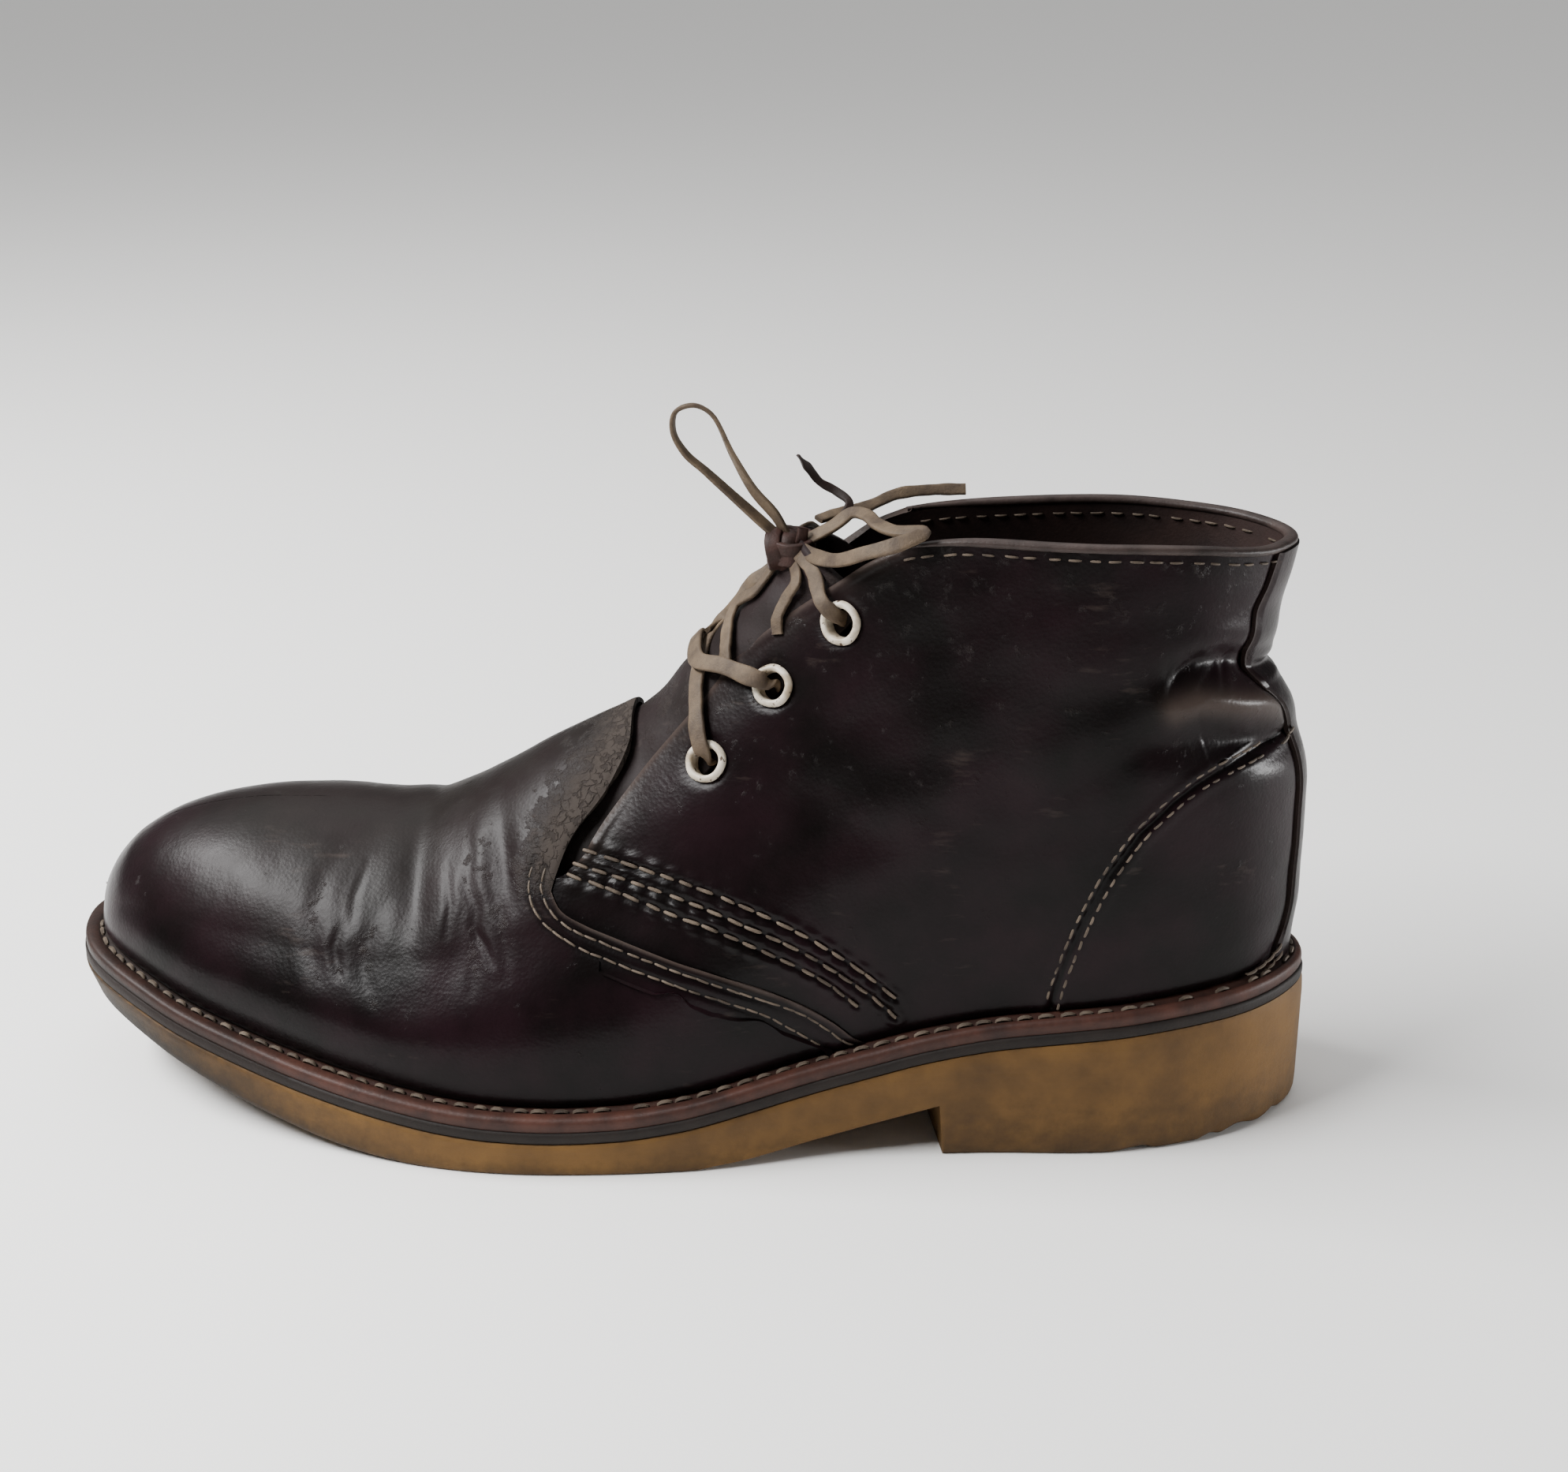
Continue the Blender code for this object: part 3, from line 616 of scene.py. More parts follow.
@dataclass
class Finishes:
    """Every material of the boot, made once."""

    upper: Material = built(Leather())
    tongue: Material = built(Leather("soft_tongue_cowhide", ground="#140e0d", warm="#221719", roughness=0.45))
    crepe: Material = built(Crepe())
    # Vulcanised rubber sheet: dull black-brown with a fine moulded skin.
    midsole: Material = built(Matt("vulcanised_rubber_sheet", "#1f1916", "#15110f", 0.6))
    # Vegetable-tanned strip, stained red-brown and waxed: a little sheen on its rubbed edge.
    welt: Material = built(Matt("stained_veg_tan_strip", "#452a22", "#2b1b17", 0.5, blotch=9.0, skin=1.1))
    # Sheepskin lining, dyed and darkened by wear.
    lining: Material = built(Matt("dyed_sheepskin_lining", "#2b1e1b", "#1d1413", 0.7, blotch=16.0))
    # Vegetable-tanned insole, bare and pale brown where the foot hasn't darkened it.
    insole: Material = built(Matt("veg_tan_insole_leather", "#70543a", "#4c3626", 0.7, blotch=22.0))
    # Rawhide lace: fibrous, matt, grey-tan, dark where hands and eyelets soil it.
    lace: Material = built(Matt("rawhide_lace", "#625342", "#43382e", 0.6, blotch=6.0, skin=0.5, depth=0.5))
    lace_dark: Material = built(Matt("soiled_rawhide_lace", "#412b26", "#261915", 0.55, blotch=5.0, skin=0.5))
    # Waxed linen thread, twisted: pale beige with soiled spots.
    thread: Material = built(Matt("waxed_linen_thread", "#665a4e", "#3a322b", 0.55, blotch=6.0, skin=0.4))
    # Binding leather, rubbed smooth by hands; its pale colour paints the highlight that runs along the
    # collar.
    rim: Material = built(Matt("burnished_binding_leather", "#3c322f", "#231c1a", 0.42, blotch=9.0, skin=0.7))
    enamel: Material = built(ChippedEnamel())


# ---------------------------------------------------------------- meshes
def link(name: str, data: bpy.types.ID) -> Object:
    """New object in the scene."""
    made = bpy.data.objects.new(name, data)
    bpy.context.scene.collection.objects.link(made)
    return made


class Net:
    """Grids of points in millimetres that become one piece, with masks for its finish.

    The mask lift moves a point along the finished surface's normal, in millimetres, and where
    the mask hole is above a half the points are taken out.
    """

    def __init__(self, name: str) -> None:
        """Start an empty piece.

        Args:
            name: its name.
        """
        self.name = name
        self.points: list[np.ndarray] = []
        self.faces: list[np.ndarray] = []
        self.masks: list[dict[str, np.ndarray]] = []
        self.count = 0

    def grid(self, points: np.ndarray, flip: bool = False, wrap: bool = False,
             **masks: np.ndarray | float) -> None:
        """Add a grid of quads.

        Args:
            points: rows x columns x 3.
            flip: whether the faces turn the other way.
            wrap: whether the last column joins the first.
            masks: values of the size of the grid, or one value.
        """
        rows, cols = points.shape[:2]
        ids = np.arange(rows * cols).reshape(rows, cols) + self.count
        if wrap:
            ids = np.hstack([ids, ids[:, :1]])
        quads = np.stack([ids[:-1, :-1], ids[:-1, 1:], ids[1:, 1:], ids[1:, :-1]], -1).reshape(-1, 4)
        self.points.append(points.reshape(-1, 3))
        self.faces.append(quads[:, ::-1] if flip else quads)
        self.masks.append({key: np.broadcast_to(value, (rows, cols)).ravel()
                           for key, value in masks.items()})
        self.count += rows * cols

    def build(self, finish: Material, slot: str, weld: float = 0.0, rim: float = 0.0,
              sharp: float = 50.0, replaces: tuple[str, ...] = (), closed: bool = False) -> Object:
        """Make the piece and let it ride on the boot.

        Args:
            finish: its material.
            slot: the record's material slot; not used.
            weld: points this close, in millimetres, become one.
            rim: depth of the cut edge grown inward from open borders, in millimetres.
            sharp: edges with a sharper angle, in degrees, aren't shaded smooth.
            replaces: CAD nodes that it stands for.
            closed: whether it is a closed body, whose faces are all turned outward.

        Returns:
            The object.
        """
        names = sorted({key for masks in self.masks for key in masks})
        work = bmesh.new()
        layers = {key: work.verts.layers.float.new(key) for key in names}
        lift = layers.get("lift")
        verts = [work.verts.new(p * MM) for p in np.vstack(self.points)]
        for key in names:
            values = np.concatenate([masks.get(key, np.zeros(len(points)))
                                     for masks, points in zip(self.masks, self.points)])
            for vert, value in zip(verts, values):
                vert[layers[key]] = value
        for quad in np.vstack(self.faces):
            corners = list(dict.fromkeys(verts[i] for i in quad))
            if len(corners) > 2:
                work.faces.new(corners)
        if weld:
            bmesh.ops.remove_doubles(work, verts=work.verts, dist=weld * MM)
        if "hole" in layers:
            punched = [vert for vert in work.verts if vert[layers["hole"]] > 0.5]
            bmesh.ops.delete(work, geom=punched, context="VERTS")
        if closed:
            bmesh.ops.recalc_face_normals(work, faces=work.faces)
        work.normal_update()
        if lift:
            for vert in work.verts:
                vert.co += vert.normal * (vert[lift] * MM)
            work.normal_update()
        if rim:
            border = [edge for edge in work.edges if edge.is_boundary]
            inward = {vert: vert.normal.copy() for edge in border for vert in edge.verts}
            grown = bmesh.ops.extrude_edge_only(work, edges=border)["geom"]
            for vert in (item for item in grown if isinstance(item, bmesh.types.BMVert)):
                base = next(edge.other_vert(vert) for edge in vert.link_edges
                            if edge.other_vert(vert) in inward)
                vert.co = base.co - inward[base] * (rim * MM)
            work.normal_update()
        mesh = bpy.data.meshes.new(self.name)
        work.to_mesh(mesh)
        work.free()
        mesh.shade_smooth()
        mesh.set_sharp_from_angle(angle=math.radians(sharp))
        mesh.materials.append(finish)
        made = link(self.name, mesh)
        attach(made, BODY)
        if replaces:
            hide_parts(*replaces)
        LOG.info("%s: %d faces", made.name, len(mesh.polygons))
        return made


def unit(rows: np.ndarray) -> np.ndarray:
    """Rows scaled to length one."""
    return rows / np.maximum(np.linalg.norm(rows, axis=-1, keepdims=True), 1e-9)


def sweep(route: np.ndarray, up: np.ndarray, width: np.ndarray | float, thickness: np.ndarray | float,
          sides: int = 12, square: float = 0.55) -> np.ndarray:
    """Tube with a flattened section along a route.

    Args:
        route: points along the middle.
        up: the flat face's direction at each.
        width: size across, one value or one a point.
        thickness: size along up.
        sides: points of the section.
        square: 1 for an ellipse, less for squarer corners.

    Returns:
        Points of the tube, one row for each ring.
    """
    along = unit(np.gradient(route, axis=0))
    across = unit(np.cross(along, up))
    face = np.cross(across, along)
    angle = np.linspace(0, 2 * math.pi, sides, endpoint=False)
    wide = np.sign(np.cos(angle)) * np.abs(np.cos(angle)) ** square
    high = np.sign(np.sin(angle)) * np.abs(np.sin(angle)) ** square
    half_width = np.broadcast_to(np.asarray(width) / 2, len(route))[:, None, None]
    half_depth = np.broadcast_to(np.asarray(thickness) / 2, len(route))[:, None, None]
    return (route[:, None] + across[:, None] * wide[None, :, None] * half_width
            + face[:, None] * high[None, :, None] * half_depth)


@dataclass
class Stitching:
    """Rows of thread stitches, joined in one piece."""

    name: str
    length: float = 3.4
    width: float = 0.85
    net: Net = field(init=False)

    def __post_init__(self) -> None:
        """Start the joined mesh."""
        self.net = Net(self.name)

    def row(self, route: np.ndarray, normals: np.ndarray, pitch: float, worn: float = 0.0) -> None:
        """Add stitches along a route on the leather.

        Args:
            route: points along the row.
            normals: the leather's outward direction at each.
            pitch: distance between stitches.
            worn: share of stitches that are missing.
        """
        length = np.linalg.norm(np.diff(route, axis=0), axis=1)
        run = np.concatenate([[0], np.cumsum(length)])
        for middle in np.arange(pitch / 2, run[-1], pitch):
            here = middle + RNG.uniform(-0.12, 0.12) * pitch
            if RNG.uniform() < worn:
                continue
            size = self.length * RNG.uniform(0.82, 1.08)
            turn = RNG.uniform(-0.07, 0.07)
            shares = np.array([-0.5, -0.42, -0.2, 0.0, 0.2, 0.42, 0.5])
            at = np.clip(here + shares * size, 0, run[-1])
            path = np.stack([np.interp(at, run, axis) for axis in route.T], -1)
            out = unit(np.stack([np.interp(at, run, axis) for axis in normals.T], -1))
            side = unit(np.cross(np.gradient(path, axis=0), out))
            path = path + side * (shares * size * turn)[:, None]
            sunk = np.array([-0.75, -0.12, 0.12, 0.16, 0.12, -0.12, -0.75]) * self.width
            path = path + out * sunk[:, None]
            thick = self.width * np.array([0.45, 0.85, 1.0, 1.0, 1.0, 0.85, 0.45])
            self.net.grid(sweep(path, out, thick, thick * 0.8, sides=6, square=1.0), wrap=True,
                          dirt=RNG.uniform(-0.15, 0.35))

    def build(self, finish: Material, slot: str) -> Object:
        """The joined stitches."""
        return self.net.build(finish, slot)


# ---------------------------------------------------------------- sole
@dataclass
class Sole:
    """Crepe sole with heel, rubber midsole, stitched welt and insole."""

    last: Last
    finishes: Finishes
    toe_wear: float = 3.0
    midsole: float = 3.0
    gap: float = 0.3
    welt: float = 3.3
    stations: int = 320
    arch: tuple = ((8, 0), (22, 2.3), (40, 6.4), (51, 9.3), (61, 12), (66, 13.4))
    arch_yaw: float = 12.0
    arch_pivot: tuple = (66, -40)
    welt_pitch: float = 4.8

    def loop_at(self, inset: float | tuple[float, float]) -> np.ndarray:
        """Outline moved inward, the lateral side from toe to heel and then the medial one back.

        Args:
            inset: one amount, or one for the front and one for the heel.

        Returns:
            Points whose x is the same on both sides.
        """
        front, heel = inset if isinstance(inset, tuple) else (inset, inset)
        loop = self.last.inset(front, heel)
        loop = np.roll(loop, -int(np.argmin(loop[:, 0])), axis=0)
        end = int(np.argmax(loop[:, 0]))
        back = np.vstack([loop[end:], loop[:1]])[::-1]
        turn = np.linspace(0, math.pi, self.stations)
        x = loop[0, 0] + (loop[end, 0] - loop[0, 0]) * (1 - np.cos(turn)) / 2
        near = np.interp(x, loop[:end + 1, 0], loop[:end + 1, 1])
        far = np.interp(x, back[:, 0], back[:, 1])
        return np.vstack([np.stack([x, near], -1), np.stack([x, far], -1)[-2:0:-1]])

    def cap(self, net: Net, ring: np.ndarray, height: Callable, flip: bool, dirt: float) -> None:
        """Close a ring of the outline with rows across the boot.

        Args:
            net: the piece.
            ring: the ring's points.
            height: function of x, y and the nearness to the edge (0 at it) that gives z.
            flip: whether the cap faces down.
            dirt: its dirt mask.
        """
        near = ring[:self.stations]
        far = np.vstack([ring[:1], ring[:self.stations - 1:-1], near[-1:]])
        shares = (1 - np.cos(np.linspace(0, math.pi, 19))) / 2
        rows = near[:, None] + (far - near)[:, None] * shares[None, :, None]
        inner = rows[:, 1:-1]
        edge = np.broadcast_to(2 * np.minimum(shares, 1 - shares)[1:-1], inner.shape[:2])
        rows[:, 1:-1, 2] = height(inner[..., 0], inner[..., 1], edge)
        rows[[0, -1]] = ring[[0, self.stations - 1]][:, None]
        net.grid(rows, flip=flip, dirt=dirt)

    def chips(self, x: np.ndarray, y: np.ndarray) -> np.ndarray:
        """How much of the heel's lower edge has worn off, in millimetres.

        Args:
            x: places along the boot.
            y: places across it.

        Returns:
            Heights in millimetres.
        """
        turn = np.arctan2(y, x - 88) * 9.0
        bites = np.maximum(0, np.sin(turn * 1.31 + 0.6)) ** 3 + 0.7 * np.maximum(0, np.sin(turn * 2.1)) ** 4
        side = fade(x - 96, 30)
        return side * (0.35 + 1.5 * bites)

    def build_outsole(self) -> Object:
        """Crepe block with rounded rims, worn toe, chipped heel edge and the waist cut out.

        Returns:
            The object.
        """
        last = self.last
        loop = self.loop_at(0.0)
        share = np.array([0, 0.02, 0.06, 0.15, 0.3, 0.45, 0.6, 0.75, 0.88, 0.96, 1.0])
        inset = np.array([0.9, 0.45, 0.12, 0, 0, 0, 0, 0, 0, 0.15, 0.5])
        toe = fade(-95 - loop[:, 0], 58) ** 1.5
        rows = []
        masks = []
        for s, amount in zip(share, inset):
            ring = self.loop_at(float(amount))
            worn = self.toe_wear * toe * (1 - s)
            x = ring[:, 0] + worn
            y = last.centre(x) + (ring[:, 1] - last.centre(x)) * (1 - worn / 45)
            low = smooth(last.tread_line, x) + self.chips(x, y) * (1 - s) ** 6
            rows.append(np.stack([x, y, low + (last.crepe(ring[:, 0]) - low) * s], -1))
            soiled = fade(-50 - loop[:, 0], 90) ** 0.8
            masks.append(0.45 * (1 - s) ** 2.2 + 0.75 * soiled)
        net = Net("outsole_crepe")
        net.grid(np.array(rows), wrap=True, dirt=np.array(masks))
        self.cap(net, rows[0], lambda x, y, s: smooth(last.tread_line, x)
                 + self.chips(x, y) * np.clip(1 - s * 4, 0, 1), True, 0.55)
        self.cap(net, rows[-1], lambda x, y, s: last.crepe(x), False, 0.3)
        made = net.build(self.finishes.crepe, "crepe_rubber", weld=0.02, closed=True, replaces=("outsole",))
        self.cut_waist(made)
        return made

    def cut_waist(self, made: Object) -> None:
        """Cut the arch between forefoot and heel, with the heel's upright front face.

        Args:
            made: the outsole.
        """
        turned = math.radians(self.arch_yaw)
        curve = spline([(self.arch[0][0] - 12, -6), *self.arch], 6)
        line = [tuple(p) for p in curve] + [(self.arch[-1][0] + 1.5, -6)]
        work = bmesh.new()
        verts = [work.verts.new(((x - self.arch_pivot[0]) * MM, -0.08, z * MM)) for x, z in line]
        grown = bmesh.ops.extrude_face_region(work, geom=[work.faces.new(verts)])["geom"]
        moved = [item for item in grown if isinstance(item, bmesh.types.BMVert)]
        bmesh.ops.translate(work, verts=moved, vec=(0, 0.2, 0))
        bmesh.ops.recalc_face_normals(work, faces=work.faces)
        mesh = bpy.data.meshes.new("waist")
        work.to_mesh(mesh)
        work.free()
        cutter = link("waist", mesh)
        cutter.rotation_euler = (0, 0, turned)
        cutter.location = (self.arch_pivot[0] * MM, self.arch_pivot[1] * MM, 0)
        cut = made.modifiers.new("waist", "BOOLEAN")
        cut.operation = "DIFFERENCE"
        cut.solver = "EXACT"
        cut.object = cutter
        shaped = bpy.data.meshes.new_from_object(made.evaluated_get(bpy.context.evaluated_depsgraph_get()))
        made.modifiers.clear()
        made.data = shaped
        shaped.set_sharp_from_angle(angle=math.radians(40))
        bpy.data.objects.remove(cutter)

    def build_midsole(self) -> Object:
        """Dark rubber sheet between crepe and welt, with a rounded edge.

        Returns:
            The object.
        """
        last = self.last
        rows = []
        for s, amount in ((0, 0.9), (0.08, 0.45), (0.3, 0.3), (0.7, 0.3), (0.92, 0.5), (1, 1.0)):
            ring = self.loop_at(amount)
            z = last.crepe(ring[:, 0]) + 0.05 + (self.midsole - 0.05) * s
            rows.append(np.column_stack([ring, z]))
        net = Net("midsole_rubber")
        net.grid(np.array(rows), wrap=True, dirt=0.1 + 0.9 * fade(-70 - rows[0][:, 0], 50))
        self.cap(net, rows[0], lambda x, y, s: last.crepe(x) + 0.05, True, 0.1)
        self.cap(net, rows[-1], lambda x, y, s: last.crepe(x) + self.midsole, False, 0.1)
        return net.build(self.finishes.midsole, "midsole_rubber", weld=0.02, closed=True,
                         replaces=("midsole",))

    def build_welt(self) -> Object:
        """Leather strip with a rounded rim and the stitch groove beside the upper.

        Returns:
            The object.
        """
        last = self.last
        base, top = self.midsole + 0.05, self.midsole + self.welt
        front, heel = last.flange_front, last.flange_heel
        section = [(2.4, -0.25, base), (0, 0.9, base), (0, 0.75, base + 0.5), (0, 0.72, base + 1.6),
                   (0, 0.8, top - 1.0), (0, 1.1, top - 0.35), (0, 1.7, top - 0.02), (0, 2.3, top + 0.1),
                   (-2.4, -0.2, top + 0.05), (-1.9, -0.1, top - 0.35), (-1.3, -0.1, top - 0.4),
                   (-0.8, -0.05, top + 0.05), (2.4, 0.0, top - 0.1), (2.4, 0.0, base + 0.2)]
        rows = []
        for inner, outer, height in section:
            if inner:
                ring = self.loop_at((front + inner + outer, heel + inner + outer))
            else:
                ring = self.loop_at(outer)
            wave = 0.12 * np.sin(ring[:, 0] / 7.3) * np.sin(ring[:, 1] / 5.1 + 1.0)
            lift = last.crepe(ring[:, 0]) + height + wave * (height > base + 1)
            rows.append(np.column_stack([ring, lift]))
        rows.append(rows[0])
        dirt = np.zeros((len(rows), len(rows[0])))
        dirt[9:12] = 0.55
        dirt[:3] = 0.3
        dirt += 0.85 * fade(-70 - rows[0][:, 0], 60)
        net = Net("welt_strip")
        net.grid(np.array(rows), wrap=True, dirt=dirt)
        return net.build(self.finishes.welt, "welt_leather", weld=0.02, closed=True, replaces=("welt",))

    def build_welt_stitches(self) -> Object:
        """Thread round the welt, in the groove beside the upper.

        Returns:
            The object.
        """
        last = self.last
        ring = self.loop_at((last.flange_front - 1.6, last.flange_heel - 1.4))
        ring = np.vstack([ring, ring[:1]])
        z = last.crepe(ring[:, 0]) + self.midsole + self.welt + 0.05
        seam = Stitching("welt_stitches", length=3.6, width=1.15)
        route = np.column_stack([ring, z])
        slope = np.gradient(z) / np.maximum(np.abs(np.gradient(ring[:, 0])), 0.3) * np.sign(
            np.gradient(ring[:, 0]) + 1e-9)
        up = unit(np.column_stack([-slope * 0.5, np.zeros(len(z)), np.ones(len(z))]))
        seam.row(route, up, self.welt_pitch, worn=0.03)
        return seam.build(self.finishes.thread, "welt_leather")

    def build_insole(self) -> Object:
        """Insole leather with a shallow foot print pressed in.

        Returns:
            The object.
        """
        last = self.last
        rows = []
        top = self.midsole + self.welt + 1.7
        for inset, height in ((3.9, self.midsole + 0.35), (3.7, self.midsole + 0.9), (3.7, top - 0.5),
                              (4.3, top)):
            ring = self.loop_at((last.flange_front + inset, last.flange_heel + inset))
            rows.append(np.column_stack([ring, last.crepe(ring[:, 0]) + height]))
        net = Net("insole_board")
        net.grid(np.array(rows), wrap=True, dirt=0.2)
        self.cap(net, rows[-1],
                 lambda x, y, s: last.crepe(x) + top - 0.8 * np.sin(math.pi * np.clip(s, 0, 1) / 2) ** 2,
                 False, 0.35)
        self.cap(net, rows[0], lambda x, y, s: last.crepe(x) + self.midsole + 0.35, True, 0.2)
        return net.build(self.finishes.insole, "insole_leather", weld=0.02, closed=True, replaces=("insole",))

    def build(self) -> None:
        """All pieces of the sole, from the ground up."""
        self.build_outsole()
        self.build_midsole()
        self.build_welt()
        self.build_welt_stitches()
        self.build_insole()


# ---------------------------------------------------------------- upper
@dataclass(frozen=True)
class Crease:
    """Soft trough in the leather with a low ridge on each side, placed in the side view."""

    points: tuple
    depth: float
    width: float
    sides: tuple[Side, ...] = (Side.LATERAL, Side.MEDIAL)

    def lift(self, x: np.ndarray, z: np.ndarray) -> np.ndarray:
        """How far it moves the leather, in millimetres; a negative depth makes a ridge.

        Args:
            x: places along the boot.
            z: their heights.

        Returns:
            Heights in millimetres.
        """
        away, share = distance(x, z, self.points)
        ends = np.sin(math.pi * np.clip(0.06 + 0.88 * share, 0, 1)) ** 0.6
        trough = -bell(away, self.width)
        banks = 0.35 * bell(away - 2.1 * self.width, self.width)
        return self.depth * (trough + banks) * ends


@dataclass
class Upper:
    """Vamp, quarters, backstay, collar rim, lining and their stitching."""

    last: Last
    finishes: Finishes
    vamp_rise: float = 0.9       # outer face of the vamp above the last
    edge_depth: float = 1.3      # cut edge that shows
    wall: float = 2.2
    hole: float = 3.8            # radius punched for an eyelet
    vamp_rows_cols: tuple[int, int] = (118, 320)
    quarter_rows_cols: tuple[int, int] = (190, 320)
    lining_rows_cols: tuple[int, int] = (60, 110)
    quarter_pitch: float = 4.9   # distance between the heavy stitches
    vamp_pitch: float = 3.5
    counter_pitch: float = 3.4
    counter_gap: float = 1.5     # half the distance between the counter's two rows
    collar_pitch: float = 4.6
    lip: tuple = ((-25, 61.6), (-24.2, 64.4), (-20.8, 72.6), (-13.2, 82.4), (-8.8, 91.5), (-9.4, 95.8))
    vamp_edge: tuple = (
        (48.6, 26.8), (46.3, 28.2), (41, 32.9), (30, 40.2), (15.5, 46.2), (3.2, 49.8), (-9.7, 53.4),
        (-16.3, 55.3), (-22.4, 58), (-25, 61.6))
    hidden_edge: tuple = (
        (41, 25.6), (28, 33), (10, 40), (-8, 45.8), (-22, 50.5), (-32, 56.5), (-30, 62.5), (-22.5, 65))
    quarter_edge: tuple = (
        (-18, 69), (-14.8, 74.8), (-6, 86.5), (2.4, 96.4), (11.6, 107.2), (17, 115), (25, 121.8),
        (33.5, 128.8), (40, 133.8), (47.5, 139.6), (54, 143.2))
    medial_lift: float = 3.0
    collar_lateral: tuple = (
        (54, 143.2), (60, 145), (72, 146.1), (105, 146), (122, 145), (134, 143.2), (143, 141.8),
        (149, 141.6))
    collar_medial: tuple = ((54, 141.6), (60, 142), (105, 142.4), (130, 141.8), (149, 141.6))
    creases: tuple[Crease, ...] = (
        Crease(((-79, 61.5), (-81.9, 58), (-83.4, 51), (-82.7, 45), (-80.5, 40)), 0.2, 2.0),
        Crease(((-64.5, 56), (-67.4, 51.5), (-69.4, 46), (-69, 41), (-66, 36.5)), 0.22, 2.0),
        Crease(((-75.5, 50), (-77, 46), (-75, 41)), 0.22, 1.1),
        Crease(((-46.9, 68), (-45.2, 65), (-45.4, 60), (-42.8, 57), (-41.8, 46), (-42.5, 40)), 0.2, 1.2),
        Crease(((-41.2, 68), (-39.6, 61), (-36.1, 55), (-34.8, 49), (-34.5, 44)), 0.18, 1.3),
        Crease(((-61, 68), (-59.6, 61), (-57, 53), (-56.5, 47)), 0.5, 3.4),
        Crease(((-39.2, 72), (-36.6, 65), (-35.2, 59)), 0.6, 2.6),
        Crease(((-51, 62), (-49, 56), (-49.5, 50)), 0.2, 0.9),
        Crease(((-72, 60), (-73.5, 55), (-73, 50)), 0.16, 0.9),
        Crease(((-44, 53), (-40, 50), (-38, 46)), 0.25, 0.8),
        Crease(((-43.9, 69), (-47.5, 60), (-53, 52.5), (-58, 46)), -0.6, 4.4),
        Crease(((-85, 61), (-93, 56), (-106, 56)), -0.35, 5.0),
    )
    ankle: tuple[Crease, ...] = (
        Crease(((150, 113.5), (141, 116.5), (134, 118.5), (127, 118), (121, 116)), 1.6, 3.0),
        Crease(((152, 112.5), (146, 113), (141, 114.5)), 1.2, 1.3),
        Crease(((150, 101), (141, 106), (133, 109), (126, 110.5), (120, 109)), -2.5, 4.2),
        Crease(((133, 116.5), (128, 114), (123, 110.5)), 0.35, 0.9),
        Crease(((128, 120), (122.5, 117), (119, 112)), 0.3, 0.9),
        Crease(((137.5, 119), (134, 114.5), (132.5, 112)), 0.3, 0.8),
        Crease(((150, 95.5), (138, 99), (126, 101), (112, 100.5)), 0.9, 3.6),
        Crease(((147, 88), (137, 88.5), (127, 87)), -0.5, 5.0),
        Crease(((118, 118), (104, 114), (88, 112)), 0.3, 4.5),
        Crease(((112, 101), (96, 92), (82, 86)), 0.3, 4.0),
        Crease(((60, 84), (78, 78), (96, 80)), 0.22, 4.0),
        Crease(((30, 88), (45, 80), (62, 76)), 0.22, 4.5),
    )
    counter: tuple = (
        (149, 97.6), (139.5, 96.2), (133.5, 95), (127.5, 93.2), (122.5, 91), (117, 87.4), (109.3, 80.2),
        (102.6, 69.8), (98.3, 60.3), (95, 51), (92.6, 42), (91.5, 36.6))
    quarter_rows: tuple = (
        ((-18.5, 70.6), (-2.7, 67.8), (7.6, 65.6), (20.8, 61.5), (31.1, 56.9), (40.5, 51.2), (49.6, 44.2),
         (55.5, 38.6)),
        ((-21, 67.8), (-6.6, 65.2), (9.5, 61.4), (25.1, 55.6), (34.4, 50.9), (43, 44.8), (50.7, 38.6),
         (55.4, 33.8)),
        ((-21.8, 65.4), (-12, 63.4), (0.6, 59.9), (14.8, 56), (30, 49.2), (39.5, 43.2), (46.5, 37)))
    vamp_rows: tuple = (
        ((46.2, 26.9), (43.7, 27.9), (39.5, 31.4), (34.1, 35.6), (25.1, 40.1), (9.3, 46), (-9.6, 51.4),
         (-21, 55), (-25.4, 58.4), (-27.4, 62.4), (-26.6, 66)),
        ((41, 25.2), (38, 27.2), (31.2, 32.2), (24.8, 36.6), (9.4, 42.8), (-8.7, 48.2), (-18.1, 51),
         (-25.7, 54.8), (-29.4, 58.9), (-30.4, 63), (-29.6, 67)))
    heel_stitches: tuple = (     # lines beside the backstay, each with its pitch
        (((137, 39.6), (141, 40.4), (143.6, 41.6), (146.4, 43.6)), 3.6),
        (((139.6, 38.2), (143, 38.8), (146.2, 40.4)), 3.8),
        (((143.6, 95.4), (146.8, 97.2)), 3.4))
    backstay: tuple = (
        (38, 10.5), (42, 9.6), (48, 7.4), (57, 6.6), (68, 6.2), (88, 6.2), (97, 6.6), (102, 7.6),
        (106, 9.6), (109, 11.6), (113, 12.8), (120, 14), (128, 14), (134, 12.6), (142, 11))

    def waves(self, x: np.ndarray, z: np.ndarray, side: Side) -> np.ndarray:
        """Low uneven swell of worn leather, in millimetres."""
        phase = 1.3 * side.value
        return (0.16 * np.sin(x / 6.1 + z / 9.7 + phase) * np.sin(z / 7.3 - x / 15 + 2 * phase)
                + 0.10 * np.sin(x / 3.3 - z / 4.9 + phase) * np.sin(z / 3.9 + x / 8.1))

